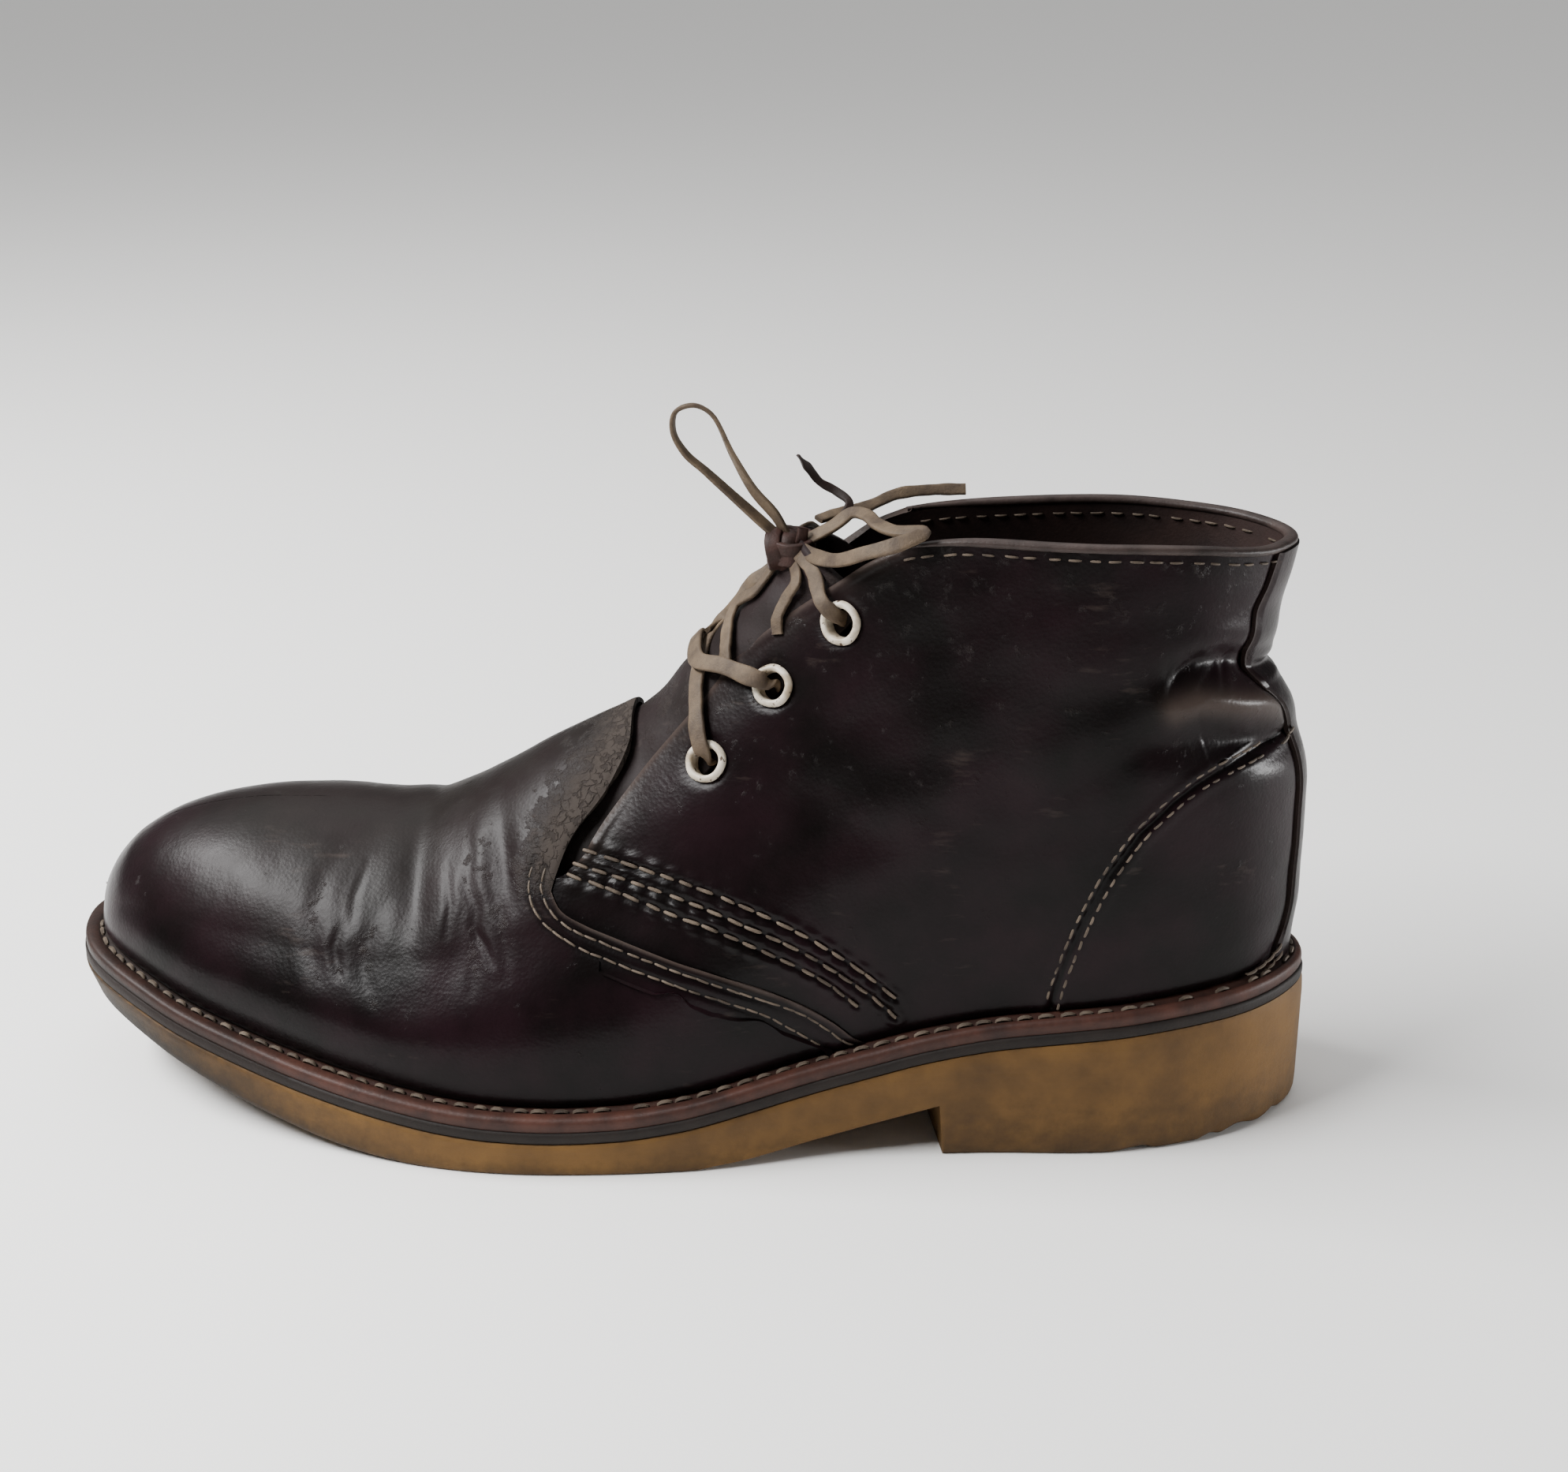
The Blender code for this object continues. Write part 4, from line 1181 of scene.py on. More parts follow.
    def front_edge(self, side: Side) -> np.ndarray:
        """Front edge of a quarter in the side view, from the throat's corner to the collar.

        Args:
            side: half of the boot.

        Returns:
            Points of the edge.
        """
        edge = spline(list(self.quarter_edge), 8)
        if side is Side.MEDIAL:
            lift = self.medial_lift * np.sin(np.linspace(0, math.pi, len(edge)))
            edge = edge + np.stack([-0.7 * lift, 0.7 * lift], 1)
            fall = self.collar_lateral[0][1] - self.collar_medial[0][1]
            edge[:, 1] -= fall * np.linspace(0, 1, len(edge)) ** 3
        return edge

    def build_vamp(self) -> Object:
        """Front leather over the toes, with its worn lip at the throat.

        Returns:
            The object.
        """
        last = self.last
        net = Net("vamp")
        rows, cols = self.vamp_rows_cols
        across = 1 - np.cos(np.linspace(0, math.pi / 2, cols))
        along = np.sin(np.linspace(0, math.pi / 2, rows))
        border = np.vstack([spline(list(self.vamp_edge), 10)[:-1], spline(list(self.lip), 10)])
        border[-1, 1] = last.ridge(border[-1, 0])
        bottom_x = np.linspace(last.toe_x, border[0, 0], 400)
        bottom = np.stack([bottom_x, last.welt(bottom_x) + 0.2], -1)
        bottom[-1] = border[0]
        top_x = np.linspace(last.toe_x, border[-1, 0], 400)
        top = np.stack([top_x, last.ridge(top_x)], -1)
        left = np.stack([np.full(20, last.toe_x), np.linspace(bottom[0, 1], top[0, 1], 20)], -1)
        x, z = patch(bottom, top, left, border, across, along)
        for side in Side:
            low, high = last.welt(x), last.ridge(x)
            rise = (z - low) / np.maximum(high - low, 1)
            lift = self.vamp_rise + self.waves(x, z, side) * fade(z - low, 8) * (1 - rise**4) * 0.6
            for crease in self.creases:
                lift = lift + crease.lift(x, z)
            for row in self.vamp_rows:
                lift = lift - 0.32 * band(x, z, row, 0.75)
            at_edge = np.minimum(distance(x, z, self.vamp_edge)[0], distance(x, z, self.lip)[0])
            lift = lift - 0.35 * bell(at_edge, 0.6)
            lift = lift - 0.9 * bell(z - low, 1.3)
            at_lip = distance(x, z, self.lip)[0]
            wear = 1.05 * bell(at_lip, 7.5) * fade(z - 59, 6)
            flex = sum(band(x, z, c.points, 2.2) for c in self.creases[:5])
            wear = wear + 0.12 * flex
            # Dust and painted reflection of the bright room on the vamp's top.
            film = fade(rise - 0.45, 0.5) * fade(x + 140, 40)
            edge = 0.75 * band(x, z, self.vamp_edge, 0.55)
            # Dirt and painted shade along the welt and in the stitch rows' grooves.
            grime = 0.9 * bell(z - low, 1.6)
            for row in self.vamp_rows:
                grime = np.maximum(grime, 0.7 * band(x, z, row, 1.0))
            net.grid(last.point(x, z, side), flip=side is Side.MEDIAL, lift=lift, wear=wear,
                     film=film * 0.85, edge=edge, grime=grime)
        return net.build(self.finishes.upper, "upper_leather", weld=0.03, rim=self.edge_depth,
                         replaces=("upper",))

    def quarter_net(self, side: Side, rows: int, cols: int) -> tuple[np.ndarray, np.ndarray]:
        """Places of a quarter in the side view, from under the vamp to the heel seam.

        Args:
            side: half of the boot.
            rows: number of rows.
            cols: number of columns.

        Returns:
            x and z of the net, rows first.
        """
        last = self.last
        edge = self.front_edge(side)
        collar = list(self.collar_lateral if side is Side.LATERAL else self.collar_medial)
        front = np.vstack([spline(list(self.hidden_edge), 8), edge])
        bottom_x = np.linspace(front[0, 0], last.heel_x, 300)
        bottom = np.stack([bottom_x, last.welt(bottom_x) + 0.2], -1)
        bottom[0] = front[0]
        top_x = np.linspace(collar[0][0], last.heel_x, 300)
        top = np.stack([top_x, smooth(collar, top_x)], -1)
        front[-1] = top[0]
        back_z = np.linspace(bottom[-1, 1], top[-1, 1], 60)
        back = np.stack([np.full(60, last.heel_x), back_z], -1)
        across = np.sin(np.linspace(0, math.pi / 2, cols))
        return patch(bottom, top, front, back, across, np.linspace(0, 1, rows))

    def build_quarter(self, side: Side) -> Object:
        """Side leather from the throat to the heel, with eyelet holes pressed into it.

        Args:
            side: half of the boot.

        Returns:
            The object.
        """
        last = self.last
        x, z = self.quarter_net(side, *self.quarter_rows_cols)
        low = last.welt(x)
        lift = self.waves(x, z, side) * fade(z - low, 8)
        for crease in self.ankle:
            lift = lift + crease.lift(x, z)
        # Dirt and painted shade along the welt, in the stitch rows, in the counter seam's groove, under the
        # vamp's edge and beside the backstay.
        grime = 0.9 * bell(z - low, 1.6)
        for row in self.quarter_rows:
            away, share = distance(x, z, row)
            length = np.linalg.norm(np.diff(np.array(row), axis=0), axis=1).sum()
            pucker = np.abs(np.sin(math.pi * share * length / self.quarter_pitch)) * bell(away - 1.5, 0.9)
            lift = lift - 0.4 * bell(away, 0.8) + 0.42 * pucker
            grime = np.maximum(grime, 0.6 * bell(away, 0.9))
        seam = distance(x, z, self.counter)[0]
        grime = np.maximum(grime, 0.9 * bell(seam, 0.6))
        under_vamp = np.minimum(distance(x, z, self.vamp_edge)[0], distance(x, z, self.lip)[0])
        grime = np.maximum(grime, 0.85 * bell(under_vamp, 1.8))
        strip = last.half_width(x, z, side) - smooth(list(self.backstay), z)
        beside = bell(strip, 0.9) * (x > 90)
        lift = lift - 0.5 * beside
        grime = np.maximum(grime, 0.95 * beside)
        lift = lift - 0.75 * bell(seam, 0.8) + 0.25 * bell(seam - 2.2, 1.2)
        lift = lift - 0.8 * bell(z - low, 1.3)
        front = [tuple(p) for p in self.front_edge(side)[::4]]
        at_front = distance(x, z, front)[0]
        lift = lift - 0.3 * bell(at_front, 0.6) - 0.12 * bell(at_front - 2.4, 0.6)
        ground = 0.08 * fade(z - 60, 70)
        # Painted highlight: the edge mask lightens the ridge of the ankle's bulge.
        painted_ankle_highlight = sum(band(x, z, c.points, 3) for c in self.ankle[2:3])
        edge = 0.5 * bell(at_front, 0.9) + 0.7 * painted_ankle_highlight + 0.1 * bell(at_front, 4)
        net = Net(f"quarter_{side.name.lower()}")
        points = last.point(x, z, side)
        for place in Lacing.eyelets.values():
            centre = last.over(*place, side, 0.0)
            away = np.linalg.norm(points - centre, axis=-1)
            lift = lift - 0.4 * bell(away - 4.9, 1.0)
        # A faint tone of dust and painted reflection lies over the quarter.
        net.grid(points, flip=side is Side.MEDIAL, lift=lift, wear=ground, film=0.05, edge=edge,
                 grime=grime, hole=self.punched(points, side))
        return net.build(self.finishes.upper, "upper_leather", weld=0.03, rim=self.edge_depth + 0.6)

    def punched(self, points: np.ndarray, side: Side) -> np.ndarray:
        """Mask of the eyelets' holes.

        Args:
            points: points of the leather.
            side: half of the boot.

        Returns:
            One inside a hole, and zero outside.
        """
        hole = np.zeros(points.shape[:2])
        for place in Lacing.eyelets.values():
            away = np.linalg.norm(points - self.last.over(*place, side, 0.0), axis=-1)
            hole = np.maximum(hole, away < self.hole)
        return hole

    def build_backstay(self) -> Object:
        """Strip over the heel seam, wide above the ankle and narrow below.

        Returns:
            The object.
        """
        last = self.last
        heights = np.linspace(float(last.welt(last.heel_x)) + 0.4, 141.0, 150)
        half = smooth(self.backstay, heights)
        shares = np.linspace(0, 1, 22)
        net = Net("backstay")
        for side in Side:
            x = np.array([[last.x_at_half_width(float(width * share), float(z), side)
                           for share in shares] for z, width in zip(heights, half)])
            z = np.broadcast_to(heights[:, None], x.shape)
            lift = self.waves(x, z, side) * 0.5 + 1.05
            for crease in self.ankle:
                lift = lift + crease.lift(x, z) * (0.55 if crease.depth < 0 else 0.9)
            lift = lift - 0.5 * (shares[None] > 0.93)
            edge = 0.3 * bell((1 - shares[None]) * half[:, None], 0.7)
            # A faint tone of dust and painted reflection lies over the backstay.
            net.grid(last.point(x, z, side), flip=side is Side.LATERAL, lift=lift, wear=0.05, film=0.12,
                     edge=edge + 0 * x)
        return net.build(self.finishes.upper, "upper_leather", weld=0.05, rim=1.2)

    def build_lining(self) -> Object:
        """Lining inside the wall, from the toe up to the collar's top.

        Returns:
            The object.
        """
        last = self.last
        net = Net("lining")
        for side in Side:
            x = np.linspace(last.toe_x + 1.5, -29.0, 70)
            low, high = last.welt(x) + 0.3, last.ridge(x)
            z = low + (high - low) * np.sin(np.linspace(0, math.pi / 2, 26))[:, None]
            xs = np.broadcast_to(x, z.shape)
            net.grid(last.point(xs, z, side), flip=side is Side.LATERAL, lift=self.wall, dirt=0.3)
            xq, zq = self.quarter_net(side, *self.lining_rows_cols)
            fold = sum(crease.lift(xq, zq) for crease in self.ankle)
            zq = zq - 0.4 * fade(zq - 60, 60)
            points = last.point(xq, zq, side)
            net.grid(points, flip=side is Side.LATERAL, lift=self.wall + np.maximum(0, -fold),
                     dirt=0.35 - 0.25 * fade(zq - 120, 20), hole=self.punched(points, side))
        return net.build(self.finishes.lining, "upper_leather", weld=0.05)

    def collar_route(self, inset: float, drop: float) -> tuple[np.ndarray, np.ndarray]:
        """Line along the collar from the lateral front round the heel to the medial front.

        Args:
            inset: distance inward from the last's surface.
            drop: distance below the collar.

        Returns:
            Points of the line, and outward directions there.
        """
        last = self.last
        lines, outs = [], []
        for side, collar in ((Side.LATERAL, self.collar_lateral), (Side.MEDIAL, self.collar_medial)):
            x = collar[0][0] + (last.heel_x - 0.05 - collar[0][0]) * np.sin(np.linspace(0, math.pi / 2, 90))
            z = smooth(list(collar), x) - drop
            normal = last.normal(x, z, side)
            line = last.point(x, z, side) - inset * normal
            lines.append(line if side is Side.LATERAL else line[::-1])
            outs.append(normal if side is Side.LATERAL else normal[::-1])
        route, out = np.vstack([lines[0], lines[1][1:]]), np.vstack([outs[0], outs[1][1:]])
        for _ in range(6):
            route[1:-1] = (route[:-2] + 2 * route[1:-1] + route[2:]) / 4
            out[1:-1] = unit(out[:-2] + 2 * out[1:-1] + out[2:])
        return route, out

    def build_rim(self) -> Object:
        """Rolled binding along the collar's top.

        Returns:
            The object.
        """
        route, out = self.collar_route(self.wall / 2 - 0.1, 0.1)
        taper = np.sin(np.clip(np.linspace(0, 1, len(route)) * 18, 0, math.pi / 2))
        taper = taper * taper[::-1]
        up = np.tile((0.0, 0.0, 1.0), (len(route), 1))
        net = Net("collar_rim")
        ring = sweep(route, up, (self.wall + 1.0) * (0.5 + 0.5 * taper), 2.1 * (0.4 + 0.6 * taper),
                     sides=14, square=0.85)
        net.grid(ring, wrap=True, dirt=0.05)
        return net.build(self.finishes.rim, "upper_leather", weld=0.01)

    def seam(self, stitching: Stitching, points: tuple, side: Side, lift: float, pitch: float,
             worn: float = 0.02) -> None:
        """Add a row of stitches along a line of the side view.

        Args:
            stitching: piece that the stitches join.
            points: line of the side view.
            side: half of the boot.
            lift: height above the last.
            pitch: distance between stitches.
            worn: share of stitches that are missing.
        """
        line = resample(spline(list(points), 8), np.linspace(0, 1, 160))
        route = self.last.point(line[:, 0], line[:, 1], side)
        normal = self.last.normal(line[:, 0], line[:, 1], side)
        stitching.row(route + normal * lift, normal, pitch, worn)

    def beside(self, points: tuple, away: float) -> tuple:
        """Line of the side view moved sideways.

        Args:
            points: line of the side view.
            away: distance that it moves.

        Returns:
            The moved line.
        """
        line = spline(list(points), 4)
        ahead = unit(np.gradient(line, axis=0))
        moved = line + np.stack([-ahead[:, 1], ahead[:, 0]], -1) * away
        return tuple(tuple(p) for p in moved[::4])

    def build_stitches(self) -> None:
        """Every seam of the upper: quarter rows, vamp rows, counter pairs, backstay and collar."""
        heavy = Stitching("quarter_stitches", length=4.1, width=0.85)
        vamp = Stitching("vamp_stitches", length=3.5, width=0.55)
        counter = Stitching("counter_stitches", length=2.6, width=0.62)
        collar = Stitching("collar_stitches", length=3.0, width=0.55)
        for side in Side:
            for row in self.quarter_rows:
                self.seam(heavy, row, side, 0.05, self.quarter_pitch)
            for row in self.vamp_rows:
                self.seam(vamp, row, side, self.vamp_rise - 0.2, self.vamp_pitch)
            for away in (-self.counter_gap, self.counter_gap):
                line = tuple(p for p in self.beside(self.counter, away) if p[0] < 145)
                self.seam(counter, line, side, 0.15, self.counter_pitch)
            for line, pitch in self.heel_stitches:
                self.seam(heavy, line, side, 1.0, pitch)
        for inset, drop in ((-0.25, 2.6), (self.wall + 0.25, 3.2)):
            route, out = self.collar_route(inset, drop)
            collar.row(route, out if inset < 1 else -out, self.collar_pitch, 0.04)
        for stitching in (heavy, vamp, counter, collar):
            stitching.build(self.finishes.thread, "upper_leather")

    def build(self) -> None:
        """All pieces of the upper."""
        self.build_vamp()
        for side in Side:
            self.build_quarter(side)
        self.build_backstay()
        self.build_lining()
        self.build_rim()
        self.build_stitches()


@dataclass
class Tongue:
    """Soft leather leaf under the laces, folded over the instep."""

    last: Last
    finishes: Finishes
    inset: float = 3.3
    crown_inset: float = -1.0
    thickness: float = 2.0
    side_line: tuple = ((-36, 66), (-26, 57), (-14, 62), (2, 81), (17, 99), (29, 112), (38, 121), (44, 128))
    crown_ends: tuple = (-36, 31)

    def build(self) -> Object:
        """The leaf, with soft cross wrinkles and a cut edge.

        Returns:
            The object.
        """
        last = self.last
        edge = spline(list(self.side_line), 12)
        count = len(edge)
        ridge_x = np.linspace(*self.crown_ends, count)
        ridge_z = last.ridge(ridge_x)
        turn = np.sin(np.linspace(0, math.pi / 2, 46))[:, None]
        net = Net("tongue_leaf")
        for side in Side:
            x = edge[:, 0] + (ridge_x - edge[:, 0]) * turn**2
            z = np.minimum(edge[:, 1] + (ridge_z - edge[:, 1]) * turn, last.ridge(x))
            wrinkle = 0.45 * np.sin(z / 2.7 + x / 9) * np.sin(z / 8.1 + 1.0)
            crown = np.interp(x, (-36, -12, 6), (self.inset, 2.0, self.crown_inset))
            sunk = self.inset + (crown - self.inset) * turn**1.5
            # The tongue's top gets dust and a painted reflection of the bright room.
            net.grid(last.point(x, z, side), flip=side is Side.MEDIAL, lift=wrinkle - sunk,
                     wear=0.1 + 0.1 * np.sin(z / 5) * turn, film=0.45, edge=0.0)
        made = net.build(self.finishes.tongue, "tongue_leather", weld=0.05, replaces=("tongue",))
        wall = made.modifiers.new("leaf", "SOLIDIFY")
        wall.thickness = self.thickness * MM
        wall.offset = -1.0
        return made


# ---------------------------------------------------------------- lacing
@dataclass(frozen=True)
class Strap:
    """Flat lace along a route in metres, with the direction its face looks at each point."""

    name: str
    route: tuple
    face: tuple
    width: float
    thickness: float = 1.2
    pointed: bool = False        # drawn to a dark point

    def line(self) -> tuple[np.ndarray, np.ndarray]:
        """Points along the middle in millimetres, and the face's direction there.

        Returns:
            Both, one row a point.
        """
        route = spline([tuple(v / MM for v in p) for p in self.route], 8)
        keys = np.linspace(0, 1, len(self.face))
        at = np.linspace(0, 1, len(route))
        face = np.stack([np.interp(at, keys, axis) for axis in np.array(self.face, float).T], -1)
        return route, unit(face)

    def build(self, finishes: Finishes, replaces: tuple[str, ...] = ()) -> Object:
        """The strap, its edges cut a little unevenly.

        Args:
            finishes: the materials.
            replaces: CAD nodes that it stands for.

        Returns:
            The object.
        """
        route, face = self.line()
        at = np.linspace(0, 1, len(route))
        wobble = 1 + 0.05 * np.sin(at * 23 + len(self.name)) + 0.035 * np.sin(at * 51)
        width = self.width * wobble
        if self.pointed:
            width = width * np.clip((1 - at) * 9, 0.3, 1)
        ring = sweep(route, face, width, self.thickness, sides=14, square=0.45)
        cap_near = np.repeat(route[:1][:, None], 14, axis=1)
        cap_far = np.repeat(route[-1:][:, None], 14, axis=1)
        net = Net(self.name)
        net.grid(np.vstack([cap_near, ring, cap_far]), wrap=True,
                 dirt=np.concatenate([[0.3], 0.1 + 0.12 * np.sin(at * 9) ** 2, [0.3]])[:, None]
                 + 0.7 * self.pointed)
        finish = finishes.lace_dark if self.pointed else finishes.lace
        return net.build(finish, "lace_leather", weld=0.001, sharp=60, replaces=replaces)


def metres(*points: np.ndarray) -> tuple:
    """Points given in millimetres as a route in metres."""
    return tuple(tuple(float(v) * MM for v in p) for p in points)


@dataclass
class Lacing:
    """Eyelets, the lace through them, the knot, two loops and two ends."""

    last: Last
    finishes: Finishes
    eyelets: ClassVar[dict[str, tuple[float, float]]] = {
        "1": (10.5, 91.8), "2": (25.6, 109.6), "3": (41.2, 125.4)}
    bore: float = 3.3
    flange: float = 5.05
    knot: tuple = (0.0275, -0.0030, 0.1364)

    def build_eyelet(self, key: str, side: Side) -> Object:
        """Rolled ring on the leather with its barrel through it.

        Args:
            key: number of the eyelet.
            side: half of the boot.

        Returns:
            The object.
        """
        steps, r, f = 56, self.bore, self.flange
        profile = [(r, -2.8), (r, 0.3), (r + 0.12, 0.75), (r + 0.4, 1.05), (r + 0.8, 1.1),
                   (f - 0.5, 0.95), (f - 0.2, 0.65), (f, 0.25), (f - 0.05, -0.1), (f - 0.4, -0.3),
                   (r + 0.4, -0.3), (r + 0.4, -2.8), (r, -2.8)]
        turn = np.linspace(0, 2 * math.pi, steps, endpoint=False)
        radius, height = np.array(profile).T
        dent = 1 + 0.02 * np.sin(2 * turn + float(key)) + 0.012 * np.sin(5 * turn)
        ring = np.stack([radius[:, None] * np.cos(turn) * dent, radius[:, None] * np.sin(turn) * dent,
                         height[:, None] + 0 * turn], -1)
        place = self.last.over(*self.eyelets[key], side, 0.0)
        normal = Vector(self.last.normal(*map(np.asarray, self.eyelets[key]), side))
        frame_of = np.array(normal.to_track_quat("Z", "Y").to_matrix())
        name = f"eyelet_{side.name.lower()}_{key}"
        net = Net(f"{name}_ring")
        net.grid(ring @ frame_of.T + place, wrap=True)
        return net.build(self.finishes.enamel, "eyelet_metal", weld=0.01, sharp=70, replaces=(name,))

    def straps(self) -> list[tuple[Strap, tuple[str, ...]]]:
        """The lengths between the eyelets and up to the knot, with the CAD nodes they stand for.

        Returns:
            Each strap with its CAD nodes.
        """
        over, crown = self.last.over, self.last.crown
        near, far = Side.LATERAL, Side.MEDIAL
        hole = {(key, side): over(place[0] - 0.7, place[1] + 0.7, side, -3.4)
                for key, place in self.eyelets.items() for side in Side}

        def faces(*places: tuple[float, float, Side]) -> tuple:
            """Outward directions of the last at some places."""
            return tuple(tuple(self.last.normal(np.asarray(x), np.asarray(z), side))
                         for x, z, side in places)

        under = Strap("lace_lower_from_outer", metres(
            hole["1", near], over(10.2, 93.4, near, 1.3), over(9.3, 97, near, 2.3), over(8.6, 102, near, 2.0),
            over(8.4, 106, near, 2.0), crown(9.5, 1.3), over(15, 114, far, 2.3), over(23.5, 110.5, far, 2.4),
            hole["2", far]),
            faces((10.5, 92, near), (9, 97, near), (8.5, 103, near), (8.6, 108, near), (14, 115, far),
                  (24, 111, far)), width=4.0)
        above = Strap("lace_lower_from_inner", metres(
            hole["1", far], over(10, 93.5, far, 1.5), over(8.6, 98, far, 2.6), over(8.4, 105, far, 2.8),
            crown(8.2, 3.4), over(9.4, 109.2, near, 3.6), over(15.5, 110.6, near, 3.4),
            over(21.6, 110.4, near, 3.0), over(24.2, 110.2, near, 1.6), hole["2", near]),
            faces((10, 93, far), (8.6, 104, far), (8.6, 110, near), (15, 111, near), (23, 110, near)),
            width=4.2)
        rising = Strap("lace_up_inner_edge", metres(
            crown(9.6, 2.6), over(12.6, 113.5, far, 3.0), over(17, 119.5, far, 2.4),
            over(20.5, 125, far, 2.4), over(24, 130.5, far, 2.2), (26, 1.5, 136.0), (26.5, -1.5, 138.6)),
            ((-0.8, -0.5, 0.5), (-0.5, -0.7, 0.5), (-0.4, -0.8, 0.5), (-0.6, -0.6, 0.5)), width=3.6)
        cross_a = Strap("lace_upper_from_outer", metres(
            over(15.2, 111.6, near, 2.0), over(15.4, 114.6, near, 2.2), over(15.6, 117.9, near, 2.2),
            over(17.2, 121, near, 2.3), over(22.2, 126, near, 2.2), over(25.4, 130.8, near, 1.8),
            (27.0, -4.0, 135.6)),
            faces((15, 112, near), (15.6, 118, near), (20, 123.5, near), (25, 130, near)), width=3.5)
        cross_b = Strap("lace_upper_from_inner", metres(
            (28.8, -4.6, 135.4), over(31.4, 131.4, near, 1.5), over(29.2, 128, near, 1.2),
            over(26.9, 123.2, near, 1.1), over(26.6, 120.2, near, 0.2)),
            faces((30, 131, near), (28, 126, near), (26.6, 120, near)), width=3.0, thickness=1.1)
        bar_near = Strap("lace_bar_outer", metres(
            hole["3", near], over(40.3, 127.2, near, 1.6), over(38.4, 129.2, near, 3.0), (34.6, -14.2, 134.3),
            (32.4, -10.5, 136.2), (29.5, -6.0, 137.4)),
            ((0.05, -0.9, 0.4), (-0.25, -0.85, 0.45), (-0.4, -0.7, 0.6), (-0.4, -0.75, 0.5)), width=3.5)
        bar_far = Strap("lace_bar_inner", metres(
            hole["3", far], over(39.8, 127.8, far, 1.8), over(37, 131, far, 3.4), (31.5, 8, 138.8),
            (28.4, 3, 138.8)), ((0, 0.9, 0.4), (-0.3, 0.7, 0.6), (-0.5, 0.2, 0.8)), width=3.6)
        return [(under, ("lace_crossing_lower",)), (above, ()), (rising, ()),
                (cross_a, ("lace_crossing_upper",)), (cross_b, ()),
                (bar_near, ("lace_bar_lateral",)), (bar_far, ("lace_bar_medial",))]

    def build_knot(self) -> Object:
        """Tight wraps of the strap round a core, one upright and two level, with a short tab.

        Returns:
            The object.
        """
        centre = np.array(self.knot) / MM
        turn = np.linspace(0, 2 * math.pi, 40)
        net = Net("lace_knot_wraps")
        level = (np.cos(turn), np.sin(turn), np.sin(turn))
        upright = (np.sin(turn * 2), np.cos(turn), np.sin(turn))
        wraps = (((-2.6, 0.2, 0.2), (0.5, 4.4, 4.2), upright, 3.8),
                 ((1.4, 0, 1.9), (4.6, 4.9, 0.7), level, 3.3),
                 ((1.7, -0.2, -1.6), (4.4, 4.6, -0.6), level, 3.4),
                 ((0, 0.3, 0.2), (3.4, 3.4, 2.8), level, 5.2))
        for offset, radii, course, width in wraps:
            path = np.stack([radius * wave for radius, wave in zip(radii, course)], -1)
            ring = sweep(centre + np.array(offset) + path, unit(path), width, 1.6, sides=14, square=0.5)
            net.grid(ring, wrap=True, dirt=0.15 + 0.2 * np.sin(turn)[:, None] ** 2)
        core = centre + (0, 0, 0.9) + np.linspace(-3.4, 3.6, 9)[:, None] * np.array([0.93, 0.0, -0.36])
        girth = 8.6 * np.sqrt(np.clip(1 - np.linspace(-0.97, 0.97, 9) ** 2, 0.05, 1))
        net.grid(sweep(core, np.tile((0.36, 0.0, 0.93), (9, 1)), girth, girth * 0.92, sides=14, square=0.9),
                 wrap=True, dirt=0.3)
        tab = spline([centre + (3, -2, 1), centre + (3.6, -2.2, 3.4), centre + (3.9, -1.8, 5.8)], 6)
        net.grid(sweep(tab, np.tile((0.3, -0.95, 0.1), (len(tab), 1)), np.linspace(3.2, 2.4, len(tab)), 1.4,
                       sides=14, square=0.5), wrap=True, dirt=0.4)
        return net.build(self.finishes.lace_dark, "lace_leather", sharp=60, replaces=("lace_knot",))

    def free_straps(self) -> list[tuple[Strap, str, str]]:
        """Loops and ends of the bow, with the CAD node and the far end of each.

        Returns:
            Each strap with its CAD node and its far end.
        """
        tall = Strap("bow_loop_tall", (
            (0.0248, -0.0036, 0.1404), (0.015, -0.004, 0.1495), (0.009, -0.004, 0.155),
            (0.0045, -0.004, 0.159), (0.0018, -0.004, 0.164), (0.0024, -0.004, 0.1686),
            (0.0065, -0.004, 0.1702), (0.0106, -0.004, 0.1682), (0.0153, -0.004, 0.1588),
            (0.020, -0.004, 0.1506), (0.0248, -0.004, 0.1450), (0.0272, -0.0032, 0.1405)),
            ((0.75, -0.5, 0.4), (0.9, -0.25, 0.3), (1, -0.05, 0.1), (0.3, -0.1, -1), (-1, -0.2, 0),
             (-0.6, -0.85, -0.1), (-0.5, -0.8, -0.2)), width=2.8, thickness=1.1)
        low = Strap("bow_loop_low", (
            (0.0316, -0.004, 0.1388), (0.038, -0.004, 0.1425), (0.0424, -0.005, 0.146),
            (0.046, -0.010, 0.1472), (0.0488, -0.016, 0.147), (0.053, -0.022, 0.1472),
            (0.0595, -0.0255, 0.148), (0.054, -0.0282, 0.146), (0.047, -0.0266, 0.1434),
            (0.0405, -0.021, 0.1398), (0.0346, -0.012, 0.1378), (0.0306, -0.006, 0.1378)),
            ((-0.6, -0.5, 0.6), (-0.3, -0.6, 0.75), (0.2, -0.6, 0.75), (0, -0.5, 0.85), (0, -0.75, 0.65),
             (-0.2, -0.85, 0.5), (-0.3, -0.85, 0.45)), width=3.4)
        short = Strap("bow_end_short", (
            (0.0318, -0.0012, 0.1384), (0.0344, 0.0006, 0.1396), (0.039, 0.0016, 0.1422),
            (0.0414, 0.004, 0.1458), (0.038, 0.0064, 0.148), (0.0344, 0.0066, 0.150),
            (0.032, 0.0054, 0.1534), (0.0295, 0.004, 0.157)),
            ((0, -0.5, 0.85), (0.4, -0.5, 0.7), (0.3, -0.85, 0.4), (-0.2, -0.9, 0.4), (0.5, -0.8, 0.3)),
            width=2.0, pointed=True)
